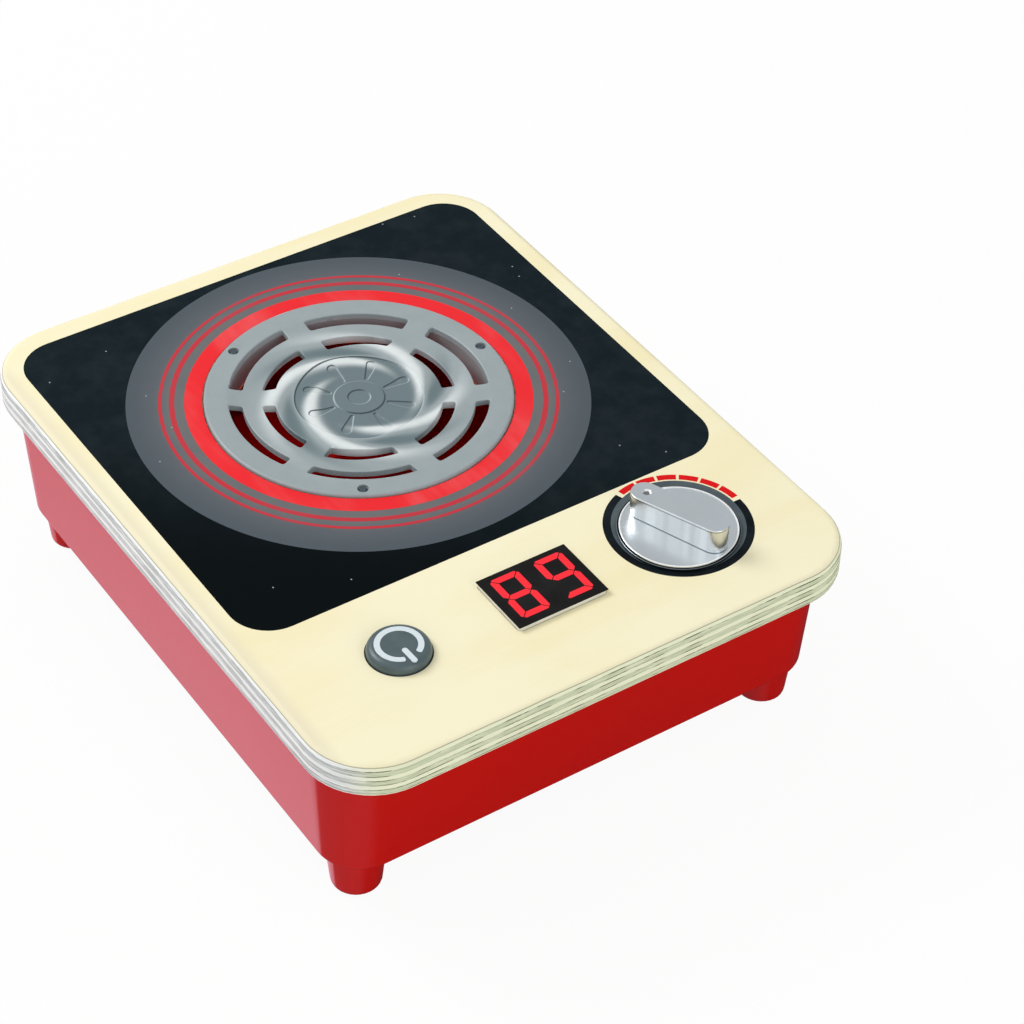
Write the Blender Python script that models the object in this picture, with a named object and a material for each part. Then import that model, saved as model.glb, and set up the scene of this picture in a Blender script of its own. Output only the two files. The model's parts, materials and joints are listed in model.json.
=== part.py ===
"""Toy induction cooker: a plywood hob on a red moulded tray.

It has a slotted burner grille, a push button, a display and a turning knob. Units are metres, with +Z up,
+X to the user's right and +Y away from the user. The origin lies on the table, below the middle of the board.
Every sub-part is one object, and a moving one turns or slides about its own origin.
"""

import math

import bmesh
import bpy
from mathutils import Matrix, Vector

# Fits shared by all pieces
FIT = 0.0003
OVERRUN = 0.002
MERGE_DISTANCE = 0.000001

# Plywood board
BOARD_WIDTH = 0.180
BOARD_DEPTH = 0.222
BOARD_THICKNESS = 0.012
BOARD_CORNER_RADIUS = 0.022
BOARD_EDGE_RADIUS = 0.0023

# Moulded tray
TRAY_SIDE_INSET = 0.0031
TRAY_END_INSET = 0.009
TRAY_HEIGHT = 0.03945
TRAY_DRAFT = 0.00245
TRAY_WALL = 0.002
TRAY_CORNER_RADIUS = 0.0165
TRAY_EDGE_RADIUS = 0.0012
FOOT_HEIGHT = 0.01515
FOOT_TOP_RADIUS = 0.009
FOOT_BOTTOM_RADIUS = 0.0077
FOOT_EDGE_RADIUS = 0.0016
FOOT_SIDE_INSET = 0.01155
FOOT_END_INSET = 0.01225
POST_RADIUS = 0.0055
POST_WALL_GAP = 0.002
POST_SEAT_THICKNESS = 0.006
POST_PLACE_SHARE = 0.6

# Burner grille, from its middle outwards
BURNER_Y = 0.0289
DIMPLE_RADIUS = 0.0037
DIMPLE_DEPTH = 0.0003
BOSS_RADIUS = 0.0079
BOSS_HEIGHT = 0.0004
PETAL_COUNT = 8
PETAL_BOSS_GAP = 0.0005
PETAL_HUB_GAP = 0.0025
PETAL_INNER_WIDTH = 0.0008
PETAL_OUTER_WIDTH = 0.0032
PETAL_DEPTH = 0.0004
HUB_RADIUS = 0.0197
HUB_STEP = 0.0004
STEP_RUN = 0.00015
HUB_LAND = 0.0058
SLOT_WIDTH = 0.0038
SLOT_RING_WIDTH = 0.0069
SLOT_CORNER_RADIUS = 0.0008
SLOT_COUNT = 6
SLOT_LAND = 0.0003
RIB_WIDTH = 0.0079
SKIRT_WALL = 0.0012
SKIRT_DEPTH = 0.009
LIP_WIDTH = 0.0063
LIP_HEIGHT = 0.001
LIP_THICKNESS = 0.0022
LIP_EDGE_RADIUS = 0.0008
GRILLE_THICKNESS = 0.002
DISH_DEPTH = 0.0013
SWIRL_HEIGHT = 0.001
SWIRL_TURN = 160
SWIRL_START_SHARE = 1 / 3
SWIRL_ANGLES = (5, 112, 203, 280)
SWIRL_SHARPNESS = 2.2
GRILLE_SCREW_COUNT = 3
GRILLE_SCREW_SINK = 0.0002

# Light behind the grille
LAMP_BOSS_RADIUS = 0.0035
LAMP_BOSS_LENGTH = 0.004
LAMP_BOARD_RADIUS = 0.013
LED_COUNT = 3
LED_RADIUS = 0.0025
LED_LENGTH = 0.006
LED_CIRCLE_RADIUS = 0.0085

# Screws: a small one for trim and boards, a large one for the housing
SMALL_SCREW_HEAD_RADIUS = 0.00145
SMALL_SCREW_HEAD_HEIGHT = 0.0008
SMALL_SCREW_RADIUS = 0.0008
SMALL_SCREW_LENGTH = 0.0065
LARGE_SCREW_HEAD_RADIUS = 0.0032
LARGE_SCREW_HEAD_HEIGHT = 0.0015
LARGE_SCREW_RADIUS = 0.0014
LARGE_SCREW_LENGTH = 0.009
TRAY_SCREW_LENGTH = 0.0135
SPEAKER_SCREW_LENGTH = 0.0042

# Row of controls
CONTROLS_FROM_FRONT = 0.0374
BUTTON_FROM_SIDE = 0.0403
DISPLAY_X = -0.0015
KNOB_FROM_SIDE = 0.043

# Power button and what is below it
CAP_RADIUS = 0.0092
CAP_HEIGHT = 0.0032
CAP_EDGE_RADIUS = 0.0012
CAP_ROOF = 0.002
CAP_WALL = 0.0015
CAP_FLANGE_WIDTH = 0.002
CAP_FLANGE_THICKNESS = 0.0015
CAP_TRAVEL = 0.002
BUTTON_POCKET_DEPTH = 0.007
STEM_RADIUS = 0.002
SPRING_RADIUS = 0.0056
SPRING_WIRE_RADIUS = 0.00035
SPRING_CURLS = 6
GUIDE_THICKNESS = 0.002
GUIDE_LUG = 0.0055
GUIDE_COLLAR_HEIGHT = 0.0015
GUIDE_COLLAR_WALL = 0.001
GUIDE_CORNER_RADIUS = 0.004
LEG_RADIUS = 0.0025
SWITCH_WIDTH = 0.0065
SWITCH_HEIGHT = 0.0052
PLUNGER_RADIUS = 0.0016
PLUNGER_HOLD = 0.0008
PLUNGER_SPARE = 0.0005
CIRCUIT_WIDTH = 0.036
CIRCUIT_DEPTH = 0.030
CIRCUIT_THICKNESS = 0.0016

# Display
LABEL_WIDTH = 0.0307
LABEL_DEPTH = 0.0229
LABEL_THICKNESS = 0.0003
LABEL_HEIGHT = 0.0015
TILE_MARGIN = 0.0002
TILE_CORNER_RADIUS = 0.0016
TILE_POCKET_DEPTH = 0.0012

# Knob
KNOB_RADIUS = 0.0178
KNOB_SKIRT_HEIGHT = 0.0008
KNOB_GROOVE = 0.0003
KNOB_RIM_HEIGHT = 0.0014
KNOB_RIM_WIDTH = 0.0006
KNOB_RIM_DEPTH = 0.0003
KNOB_ANGLE = 110
BAR_LENGTH = 0.0323
BAR_WIDTH = 0.0084
BAR_TOP = 0.0097
BAR_EDGE = 0.0003
POINTER_RADIUS = 0.0014
POINTER_DEPTH = 0.0008
POINTER_FROM_END = 0.00465
SHAFT_RADIUS = 0.0035
BUSH_WALL = 0.0018
BUSH_FLANGE_WIDTH = 0.003
BUSH_FLANGE_THICKNESS = 0.0015
WASHER_OVERLAP = 0.0022
WASHER_THICKNESS = 0.001

# Batteries, their contacts, bay and door
CELL_LENGTH = 0.0505
CELL_RADIUS = 0.00715
CELL_NUB_RADIUS = 0.00275
CELL_NUB_LENGTH = 0.001
CELL_EDGE = 0.0006
CELL_GAP = 0.001
CELL_END_FITS = 5
CONTACT_THICKNESS = 0.0005
CONTACT_WIDTH = 0.011
CONTACT_HEIGHT = 0.012
CONTACT_SPRING_LENGTH = 0.0045
CONTACT_SPRING_RADIUS = 0.0032
CONTACT_WIRE_RADIUS = 0.0003
CONTACT_SPRING_CURLS = 3
BAY_WALL = 0.002
BAY_PLACE_SHARE = 0.6
DOOR_THICKNESS = 0.002
DOOR_LEDGE = 0.0015
DOOR_TAB = 0.0085
DOOR_BOSS_HEIGHT = 0.009
DOOR_CORNER_RADIUS = 0.002

# Loudspeaker
SPEAKER_RADIUS = 0.018
SPEAKER_FRAME_THICKNESS = 0.003
SPEAKER_FRAME_WIDTH = 0.0025
SPEAKER_BASKET_HEIGHT = 0.004
SPEAKER_MAGNET_RADIUS = 0.008
SPEAKER_MAGNET_HEIGHT = 0.004
SPEAKER_CONE_DEPTH = 0.0025
SPEAKER_RING_WALL = 0.0015
SPEAKER_X_SHARE = 0.45
SPEAKER_Y_SHARE = -0.6
SOUND_HOLE_RADIUS = 0.0016
SOUND_HOLE_CIRCLE_RADIUS = 0.0075
SOUND_HOLE_COUNT = 6

# Facets
OUTLINE_STEPS = 12
CORNER_STEPS = 6
EDGE_STEPS = 3
GRILLE_SEGMENTS = 60
LAND_STEPS = 4
ROUND_SEGMENTS = 32
FOOT_SEGMENTS = 32
SMALL_SEGMENTS = 12
SCREW_SEGMENTS = 8
SPRING_POINTS_PER_CURL = 9

# Heights above the table
TRAY_FLOOR_TOP = FOOT_HEIGHT + TRAY_WALL
TRAY_RIM = FOOT_HEIGHT + TRAY_HEIGHT
BOARD_BOTTOM = TRAY_RIM + FIT
BOARD_TOP = BOARD_BOTTOM + BOARD_THICKNESS

# Plan sizes that several pieces share
TRAY_TOP_HALF_X = BOARD_WIDTH / 2 - TRAY_SIDE_INSET
TRAY_TOP_HALF_Y = BOARD_DEPTH / 2 - TRAY_END_INSET
TRAY_BOTTOM_HALF_X = TRAY_TOP_HALF_X - TRAY_DRAFT
TRAY_BOTTOM_HALF_Y = TRAY_TOP_HALF_Y - TRAY_DRAFT
TRAY_INNER_HALF_X = TRAY_BOTTOM_HALF_X - TRAY_WALL
TRAY_INNER_HALF_Y = TRAY_BOTTOM_HALF_Y - TRAY_WALL
CONTROLS_Y = CONTROLS_FROM_FRONT - BOARD_DEPTH / 2
BUTTON_X = BUTTON_FROM_SIDE - BOARD_WIDTH / 2
KNOB_X = BOARD_WIDTH / 2 - KNOB_FROM_SIDE
POST_X = TRAY_INNER_HALF_X - POST_WALL_GAP - POST_RADIUS
POST_Y = TRAY_INNER_HALF_Y * POST_PLACE_SHARE

SWIRL_START_RADIUS = HUB_RADIUS + HUB_LAND * SWIRL_START_SHARE
INNER_SLOT_START = HUB_RADIUS + HUB_LAND
INNER_SLOT_END = INNER_SLOT_START + SLOT_WIDTH
OUTER_SLOT_START = INNER_SLOT_END + SLOT_RING_WIDTH
OUTER_SLOT_END = OUTER_SLOT_START + SLOT_WIDTH
SKIRT_INNER_RADIUS = OUTER_SLOT_END + SLOT_LAND
SKIRT_RADIUS = SKIRT_INNER_RADIUS + SKIRT_WALL
GRILLE_RADIUS = SKIRT_RADIUS + LIP_WIDTH
GRILLE_SCREW_CIRCLE = SKIRT_RADIUS + LIP_WIDTH / 2
GRILLE_SCREW_SEAT = LIP_HEIGHT - GRILLE_SCREW_SINK - SMALL_SCREW_HEAD_HEIGHT
REBATE_DEPTH = LIP_THICKNESS - LIP_HEIGHT + FIT

CAP_FLANGE_RADIUS = CAP_RADIUS + CAP_FLANGE_WIDTH
BUTTON_POCKET_RADIUS = CAP_FLANGE_RADIUS + FIT
GUIDE_TOP = -BOARD_THICKNESS - FIT
GUIDE_BOTTOM = GUIDE_TOP - GUIDE_THICKNESS
GUIDE_SCREW_X = BUTTON_POCKET_RADIUS + GUIDE_LUG / 2
GUIDE_HALF_X = BUTTON_POCKET_RADIUS + GUIDE_LUG
GUIDE_HALF_Y = BUTTON_POCKET_RADIUS + LEG_RADIUS
PLUNGER_TOP = GUIDE_BOTTOM - FIT
SWITCH_TOP = PLUNGER_TOP - CAP_TRAVEL - PLUNGER_SPARE
CIRCUIT_TOP = SWITCH_TOP - SWITCH_HEIGHT - FIT
CIRCUIT_BOTTOM = CIRCUIT_TOP - CIRCUIT_THICKNESS

BUSH_INNER_RADIUS = SHAFT_RADIUS + FIT
BUSH_RADIUS = BUSH_INNER_RADIUS + BUSH_WALL
BUSH_BOTTOM = -BOARD_THICKNESS - FIT - BUSH_FLANGE_THICKNESS
WASHER_TOP = BUSH_BOTTOM - FIT
WASHER_BOTTOM = WASHER_TOP - WASHER_THICKNESS

TILE_TOP = LABEL_HEIGHT - LABEL_THICKNESS - FIT

BAY_HALF_X = (CELL_LENGTH + CONTACT_SPRING_LENGTH + 2 * CONTACT_THICKNESS + CELL_END_FITS * FIT) / 2
BAY_HALF_Y = (4 * CELL_RADIUS + CELL_GAP + 2 * FIT) / 2
BAY_Y = TRAY_INNER_HALF_Y * BAY_PLACE_SHARE
DOOR_HALF_X = BAY_HALF_X + DOOR_TAB
DOOR_HALF_Y = BAY_HALF_Y + DOOR_LEDGE
DOOR_SCREW_X = BAY_HALF_X + DOOR_TAB / 2
RECESS_TOP = FOOT_HEIGHT + DOOR_THICKNESS + FIT
DOOR_SCREW_SEAT = DOOR_THICKNESS / 2
CELL_Y = CELL_RADIUS + CELL_GAP / 2
CELL_AXIS_HEIGHT = RECESS_TOP + CELL_RADIUS
BAY_ROOF_BOTTOM = CELL_AXIS_HEIGHT + CELL_RADIUS + FIT

SPEAKER_X = TRAY_INNER_HALF_X * SPEAKER_X_SHARE
SPEAKER_Y = TRAY_INNER_HALF_Y * SPEAKER_Y_SHARE
SPEAKER_RING_RADIUS = SPEAKER_RADIUS + FIT
SPEAKER_SCREW_CIRCLE = SPEAKER_RING_RADIUS + SPEAKER_RING_WALL / 2 + LARGE_SCREW_RADIUS + FIT
SPEAKER_FRAME_TOP = TRAY_FLOOR_TOP + FIT + SPEAKER_FRAME_THICKNESS
SPEAKER_SCREW_ANGLES = (45, 225)

MATERIALS = {
    "birch_plywood": ((0.88, 0.82, 0.62), 0.55, 0.0),
    "grey_plastic": ((0.36, 0.39, 0.41), 0.42, 0.0),
    "slate_plastic": ((0.11, 0.14, 0.16), 0.45, 0.0),
    "white_plastic": ((0.85, 0.86, 0.85), 0.40, 0.0),
    "black_film": ((0.02, 0.02, 0.022), 0.30, 0.0),
    "red_plastic": ((0.52, 0.015, 0.012), 0.22, 0.0),
    "silver_finish": ((0.62, 0.63, 0.66), 0.30, 1.0),
    "dark_steel": ((0.11, 0.13, 0.14), 0.40, 1.0),
    "bright_steel": ((0.60, 0.60, 0.58), 0.28, 1.0),
    "black_plastic": ((0.03, 0.03, 0.03), 0.45, 0.0),
    "circuit_green": ((0.02, 0.16, 0.07), 0.40, 0.0),
    "red_led": ((0.90, 0.03, 0.03), 0.20, 0.0),
    "cell_sleeve": ((0.10, 0.10, 0.11), 0.35, 0.0),
}


def clear_scene():
    for item in list(bpy.data.objects):
        bpy.data.objects.remove(item, do_unlink=True)


def material(name):
    """The named material, made the first time that it is asked for."""
    if name in bpy.data.materials:
        return bpy.data.materials[name]
    colour, roughness, metallic = MATERIALS[name]
    made = bpy.data.materials.new(name)
    made.use_nodes = True
    shader = made.node_tree.nodes["Principled BSDF"]
    shader.inputs["Base Color"].default_value = (*colour, 1)
    shader.inputs["Roughness"].default_value = roughness
    shader.inputs["Metallic"].default_value = metallic
    made.diffuse_color = (*colour, 1)
    return made


# Outlines and shapes

def circle(radius, height, segments):
    """Points of a level circle."""
    steps = [math.tau * step / segments for step in range(segments)]
    return [Vector((radius * math.cos(angle), radius * math.sin(angle), height)) for angle in steps]


def rounded_rectangle(half_x, half_y, radius, height, steps=CORNER_STEPS):
    """Points of a level rectangle with round corners."""
    points = []
    for corner, (side_x, side_y) in enumerate(((1, 1), (-1, 1), (-1, -1), (1, -1))):
        for step in range(steps + 1):
            angle = math.pi / 2 * (corner + step / steps)
            x = side_x * (half_x - radius) + radius * math.cos(angle)
            y = side_y * (half_y - radius) + radius * math.sin(angle)
            points.append(Vector((x, y, height)))
    return points


def quarter_round(radius, steps=EDGE_STEPS):
    """(inset, rise) pairs up a round bottom edge, from its flat underside to its upright side."""
    angles = [math.pi / 2 * step / steps for step in range(steps + 1)]
    return [(radius * (1 - math.sin(angle)), radius * (1 - math.cos(angle))) for angle in angles]


def loft(rings):
    """A solid through rings that have the same number of points, capped at both ends."""
    shape = bmesh.new()
    rows = [[shape.verts.new(point) for point in ring] for ring in rings]
    for lower, upper in zip(rows, rows[1:]):
        for index, start in enumerate(lower):
            following = (index + 1) % len(lower)
            shape.faces.new((start, lower[following], upper[following], upper[index]))
    shape.faces.new(rows[0])
    shape.faces.new(rows[-1])
    return shape


def turned(profile, segments, closed=False):
    """A solid spun about Z from (radius, height) pairs, which run from axis to axis or, closed, round."""
    shape = bmesh.new()
    points = [shape.verts.new((radius, 0, height)) for radius, height in profile]
    pairs = list(zip(points, points[1:]))
    if closed:
        pairs.append((points[-1], points[0]))
    edges = [shape.edges.new(pair) for pair in pairs]
    bmesh.ops.spin(
        shape,
        geom=points + edges,
        cent=(0, 0, 0),
        axis=(0, 0, 1),
        angle=math.tau,
        steps=segments,
        use_merge=True,
    )
    bmesh.ops.remove_doubles(shape, verts=shape.verts, dist=MERGE_DISTANCE)
    return shape


def cylinder(radius, bottom, top, segments=SMALL_SEGMENTS):
    return loft([circle(radius, bottom, segments), circle(radius, top, segments)])


def slab(half_x, half_y, radius, bottom, top):
    """An upright block with round corners."""
    return loft([rounded_rectangle(half_x, half_y, radius, height) for height in (bottom, top)])


def moved(shape, x=0, y=0, z=0, turn=0):
    """The shape turned about Z by an angle in degrees and then moved."""
    placing = Matrix.Translation((x, y, z)) @ Matrix.Rotation(math.radians(turn), 4, "Z")
    bmesh.ops.transform(shape, matrix=placing, verts=shape.verts)
    return shape


def gathered(shapes):
    """One shape that holds several shapes which don't touch each other."""
    whole = bmesh.new()
    for shape in shapes:
        mesh = bpy.data.meshes.new("gathered")
        shape.to_mesh(mesh)
        shape.free()
        whole.from_mesh(mesh)
        bpy.data.meshes.remove(mesh)
    return whole


# Objects

def solid(name, shape, place=(0, 0, 0)):
    """An object with its origin at the place. The shape is in the object's own coordinates."""
    bmesh.ops.recalc_face_normals(shape, faces=shape.faces)
    mesh = bpy.data.meshes.new(name)
    shape.to_mesh(mesh)
    shape.free()
    body = bpy.data.objects.new(name, mesh)
    body.location = place
    bpy.context.scene.collection.objects.link(body)
    return body


def combine(body, operation, shape):
    """Joins the shape to the body with UNION, or cuts it away with DIFFERENCE."""
    tool = solid(body.name + "_tool", shape, body.location)
    modifier = body.modifiers.new(operation, "BOOLEAN")
    modifier.operation = operation
    modifier.object = tool
    bpy.context.view_layer.update()
    graph = bpy.context.evaluated_depsgraph_get()
    mesh = bpy.data.meshes.new_from_object(body.evaluated_get(graph))
    body.modifiers.clear()
    old = body.data
    body.data = mesh
    mesh.name = body.name
    bpy.data.meshes.remove(old)
    bpy.data.objects.remove(tool, do_unlink=True)


def finish(body, material_name, parent, smooth_angle=35):
    """Cleans the mesh, shades it smooth between sharp edges, and gives it its material and its parent."""
    shape = bmesh.new()
    shape.from_mesh(body.data)
    bmesh.ops.remove_doubles(shape, verts=shape.verts, dist=MERGE_DISTANCE)
    bmesh.ops.dissolve_degenerate(shape, edges=shape.edges, dist=MERGE_DISTANCE)
    shape.to_mesh(body.data)
    shape.free()
    body.data.materials.clear()
    body.data.materials.append(material(material_name))
    body.data.shade_smooth()
    body.data.set_sharp_from_angle(angle=math.radians(smooth_angle))
    body.parent = parent
    return body


def add_screw(name, place, length, parent, large=False, points_down=False, material_name="bright_steel"):
    """A pan-head screw whose origin is below its head, on its axis."""
    head_radius = LARGE_SCREW_HEAD_RADIUS if large else SMALL_SCREW_HEAD_RADIUS
    head_height = LARGE_SCREW_HEAD_HEIGHT if large else SMALL_SCREW_HEAD_HEIGHT
    radius = LARGE_SCREW_RADIUS if large else SMALL_SCREW_RADIUS
    profile = [
        (0, -head_height),
        (head_radius - head_height / 2, -head_height),
        (head_radius, -head_height / 2),
        (head_radius, 0),
        (radius, 0),
        (radius, length - radius),
        (0, length),
    ]
    screw = solid(name, turned(profile, SCREW_SEGMENTS), place)
    if points_down:
        screw.rotation_euler.x = math.pi
    return finish(screw, material_name, parent)


def least_gap_to_itself(points, wire_radius, near):
    """The smallest clear space between two turns, from points that are at least near steps apart."""
    distances = [
        (points[first] - points[second]).length
        for first in range(len(points))
        for second in range(first + near, len(points))
    ]
    return min(distances) - 2 * wire_radius


def add_spring(name, radius, wire_radius, length, curls, place, parent, turn=(0, 0, 0)):
    """A compression spring from its origin up its own Z axis: one unbroken wire on a helix."""
    steps = curls * SPRING_POINTS_PER_CURL
    points = []
    for step in range(steps + 1):
        angle = math.tau * step / SPRING_POINTS_PER_CURL
        height = wire_radius + (length - 2 * wire_radius) * step / steps
        points.append(Vector((radius * math.cos(angle), radius * math.sin(angle), height)))
    gap = least_gap_to_itself(points, wire_radius, SPRING_POINTS_PER_CURL // 2)
    print(f"{name}: least gap to itself {gap * 1000:.2f} mm")
    curve = bpy.data.curves.new(name, "CURVE")
    curve.dimensions = "3D"
    curve.bevel_depth = wire_radius
    curve.bevel_resolution = 1
    curve.use_fill_caps = True
    spline = curve.splines.new("POLY")
    spline.points.add(len(points) - 1)
    for target, point in zip(spline.points, points):
        target.co = (*point, 1)
    curve.materials.append(material("bright_steel"))
    spring = bpy.data.objects.new(name, curve)
    spring.location = place
    spring.rotation_euler = turn
    bpy.context.scene.collection.objects.link(spring)
    spring.parent = parent
    return spring


# Plywood board

def add_board(parent):
    """The board with its grille rebate, button and knob holes and display pocket, its origin on its top."""
    edge = quarter_round(BOARD_EDGE_RADIUS)
    levels = [(inset, rise - BOARD_THICKNESS) for inset, rise in edge]
    levels += [(inset, -rise) for inset, rise in reversed(edge)]
    rings = []
    for inset, height in levels:
        half_x = BOARD_WIDTH / 2 - inset
        half_y = BOARD_DEPTH / 2 - inset
        rings.append(rounded_rectangle(half_x, half_y, BOARD_CORNER_RADIUS - inset, height, OUTLINE_STEPS))
    board = solid("top_board", loft(rings), (0, 0, BOARD_TOP))

    below = -BOARD_THICKNESS - OVERRUN
    hole_radius = SKIRT_RADIUS + FIT
    rebate_radius = GRILLE_RADIUS + FIT
    burner_hole = [
        (0, below),
        (hole_radius, below),
        (hole_radius, -REBATE_DEPTH),
        (rebate_radius, -REBATE_DEPTH),
        (rebate_radius, OVERRUN),
        (0, OVERRUN),
    ]
    pocket_top = BUTTON_POCKET_DEPTH - BOARD_THICKNESS
    button_hole = [
        (0, below),
        (BUTTON_POCKET_RADIUS, below),
        (BUTTON_POCKET_RADIUS, pocket_top),
        (CAP_RADIUS + FIT, pocket_top),
        (CAP_RADIUS + FIT, OVERRUN),
        (0, OVERRUN),
    ]
    tile_pocket = slab(
        LABEL_WIDTH / 2 - TILE_MARGIN + FIT,
        LABEL_DEPTH / 2 - TILE_MARGIN + FIT,
        TILE_CORNER_RADIUS + FIT,
        -TILE_POCKET_DEPTH,
        OVERRUN,
    )
    openings = [
        moved(turned(burner_hole, GRILLE_SEGMENTS), 0, BURNER_Y),
        moved(turned(button_hole, ROUND_SEGMENTS), BUTTON_X, CONTROLS_Y),
        moved(cylinder(BUSH_RADIUS + FIT, below, OVERRUN), KNOB_X, CONTROLS_Y),
        moved(tile_pocket, DISPLAY_X, CONTROLS_Y),
    ]
    combine(board, "DIFFERENCE", gathered(openings))

    small_bore = SMALL_SCREW_RADIUS + FIT
    grille_bore_bottom = GRILLE_SCREW_SEAT - SMALL_SCREW_LENGTH - FIT
    bores = []
    for index in range(GRILLE_SCREW_COUNT):
        angle = math.tau * index / GRILLE_SCREW_COUNT
        x = GRILLE_SCREW_CIRCLE * math.cos(angle)
        y = BURNER_Y + GRILLE_SCREW_CIRCLE * math.sin(angle)
        bores.append(moved(cylinder(small_bore, grille_bore_bottom, 0, SCREW_SEGMENTS), x, y))
    guide_bore_top = GUIDE_BOTTOM - FIT + SMALL_SCREW_LENGTH + FIT
    for side in (-1, 1):
        bore = cylinder(small_bore, below, guide_bore_top, SCREW_SEGMENTS)
        bores.append(moved(bore, BUTTON_X + side * GUIDE_SCREW_X, CONTROLS_Y))
    tray_bore_top = TRAY_RIM - POST_SEAT_THICKNESS - FIT + TRAY_SCREW_LENGTH + FIT - BOARD_TOP
    for side_x, side_y in ((1, 1), (-1, 1), (-1, -1), (1, -1)):
        bore = cylinder(LARGE_SCREW_RADIUS + FIT, below, tray_bore_top, SCREW_SEGMENTS)
        bores.append(moved(bore, side_x * POST_X, side_y * POST_Y))
    combine(board, "DIFFERENCE", gathered(bores))
    return finish(board, "birch_plywood", parent)


# Burner grille

def swirl_relief(radius, angle):
    """Height of the four arms that wind outwards from the hub, past both rings of slots."""
    start = (BOSS_RADIUS + HUB_RADIUS) / 2
    rise = min(max((radius - start) / (INNER_SLOT_START - start), 0), 1)
    fall = min(max((SKIRT_INNER_RADIUS - radius) / (SKIRT_INNER_RADIUS - INNER_SLOT_START), 0), 1)
    lag = SWIRL_TURN * math.log(radius / SWIRL_START_RADIUS)
    arms = 0
    for arm_angle in SWIRL_ANGLES:
        off = (math.degrees(angle) - arm_angle - lag + 180) % 360 - 180
        arms += max(math.cos(math.radians(min(abs(off) * 2, 180))) / 2 + 0.5, 0) ** SWIRL_SHARPNESS
    return SWIRL_HEIGHT * math.sin(math.pi / 2 * rise) * math.sin(math.pi / 2 * fall) * arms


def plate_height(radius):
    """Height of the dished plate over the board's top, without the swirl."""
    share = min(max((radius - HUB_RADIUS) / (SKIRT_INNER_RADIUS - HUB_RADIUS), 0), 1)
    return LIP_HEIGHT - DISH_DEPTH * (1 - share**2)


def grille_ring(radius, height, relief=False):
    ring = circle(radius, height, GRILLE_SEGMENTS)
    if relief:
        for point in ring:
            point.z += swirl_relief(radius, math.atan2(point.y, point.x))
    return ring


def grille_shape():
    """The plate with its skirt, lip, dish, swirl and stepped hub, before the slots are cut."""
    hub_face = plate_height(HUB_RADIUS) - HUB_STEP
    underside = hub_face - GRILLE_THICKNESS
    edge_under = LIP_HEIGHT - GRILLE_THICKNESS
    lip_bottom = LIP_HEIGHT - LIP_THICKNESS
    rings = [
        grille_ring(HUB_RADIUS, underside),
        grille_ring(SKIRT_INNER_RADIUS, edge_under),
        grille_ring(SKIRT_INNER_RADIUS, -SKIRT_DEPTH),
        grille_ring(SKIRT_RADIUS, -SKIRT_DEPTH),
        grille_ring(SKIRT_RADIUS, lip_bottom),
        grille_ring(GRILLE_RADIUS, lip_bottom),
    ]
    for inset, drop in reversed(quarter_round(LIP_EDGE_RADIUS)):
        rings.append(grille_ring(GRILLE_RADIUS - inset, LIP_HEIGHT - drop))
    middle_of_ring = (INNER_SLOT_END + OUTER_SLOT_START) / 2
    relief_radii = [
        SKIRT_INNER_RADIUS,
        (OUTER_SLOT_START + OUTER_SLOT_END) / 2,
        (middle_of_ring + OUTER_SLOT_START) / 2,
        middle_of_ring,
        (middle_of_ring + INNER_SLOT_END) / 2,
        (INNER_SLOT_START + INNER_SLOT_END) / 2,
    ]
    for step in range(1, LAND_STEPS + 1):
        relief_radii.append(INNER_SLOT_START - HUB_LAND * step / LAND_STEPS)
    for radius in relief_radii:
        rings.append(grille_ring(radius, plate_height(radius), True))
    rings.append(grille_ring(HUB_RADIUS - STEP_RUN, hub_face, True))
    rings.append(grille_ring((BOSS_RADIUS + HUB_RADIUS) / 2, hub_face))
    boss_face = hub_face + BOSS_HEIGHT
    rings += [
        grille_ring(BOSS_RADIUS + STEP_RUN, hub_face),
        grille_ring(BOSS_RADIUS, boss_face),
        grille_ring(DIMPLE_RADIUS, boss_face),
        grille_ring(DIMPLE_RADIUS - STEP_RUN, boss_face - DIMPLE_DEPTH),
    ]
    return loft(rings)


def slot_cutter(start, end, middle_angle):
    """One slot: two arcs joined by ends that are parallel to the ribs beside it."""
    spacing = math.tau / SLOT_COUNT
    arc_steps = CORNER_STEPS
    outline = []
    for radius, direction in ((end, 1), (start, -1)):
        half_sweep = spacing / 2 - math.asin(RIB_WIDTH / 2 / radius)
        for step in range(arc_steps + 1):
            angle = direction * half_sweep * (2 * step / arc_steps - 1)
            outline.append((radius * math.cos(angle), radius * math.sin(angle)))
    low = -SKIRT_DEPTH / 2
    high = LIP_HEIGHT + SWIRL_HEIGHT + OVERRUN
    shape = loft([[Vector((x, y, height)) for x, y in outline] for height in (low, high)])
    corners = [outline[0], outline[arc_steps], outline[arc_steps + 1], outline[-1]]
    upright = []
    for edge in shape.edges:
        first, second = edge.verts
        is_upright = (first.co.xy - second.co.xy).length < MERGE_DISTANCE
        if is_upright and any((first.co.xy - Vector(corner)).length < MERGE_DISTANCE for corner in corners):
            upright.append(edge)
    bmesh.ops.bevel(
        shape, geom=upright, offset=SLOT_CORNER_RADIUS, segments=2, profile=0.5, affect="EDGES", material=-1
    )
    return moved(shape, turn=middle_angle)


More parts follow.
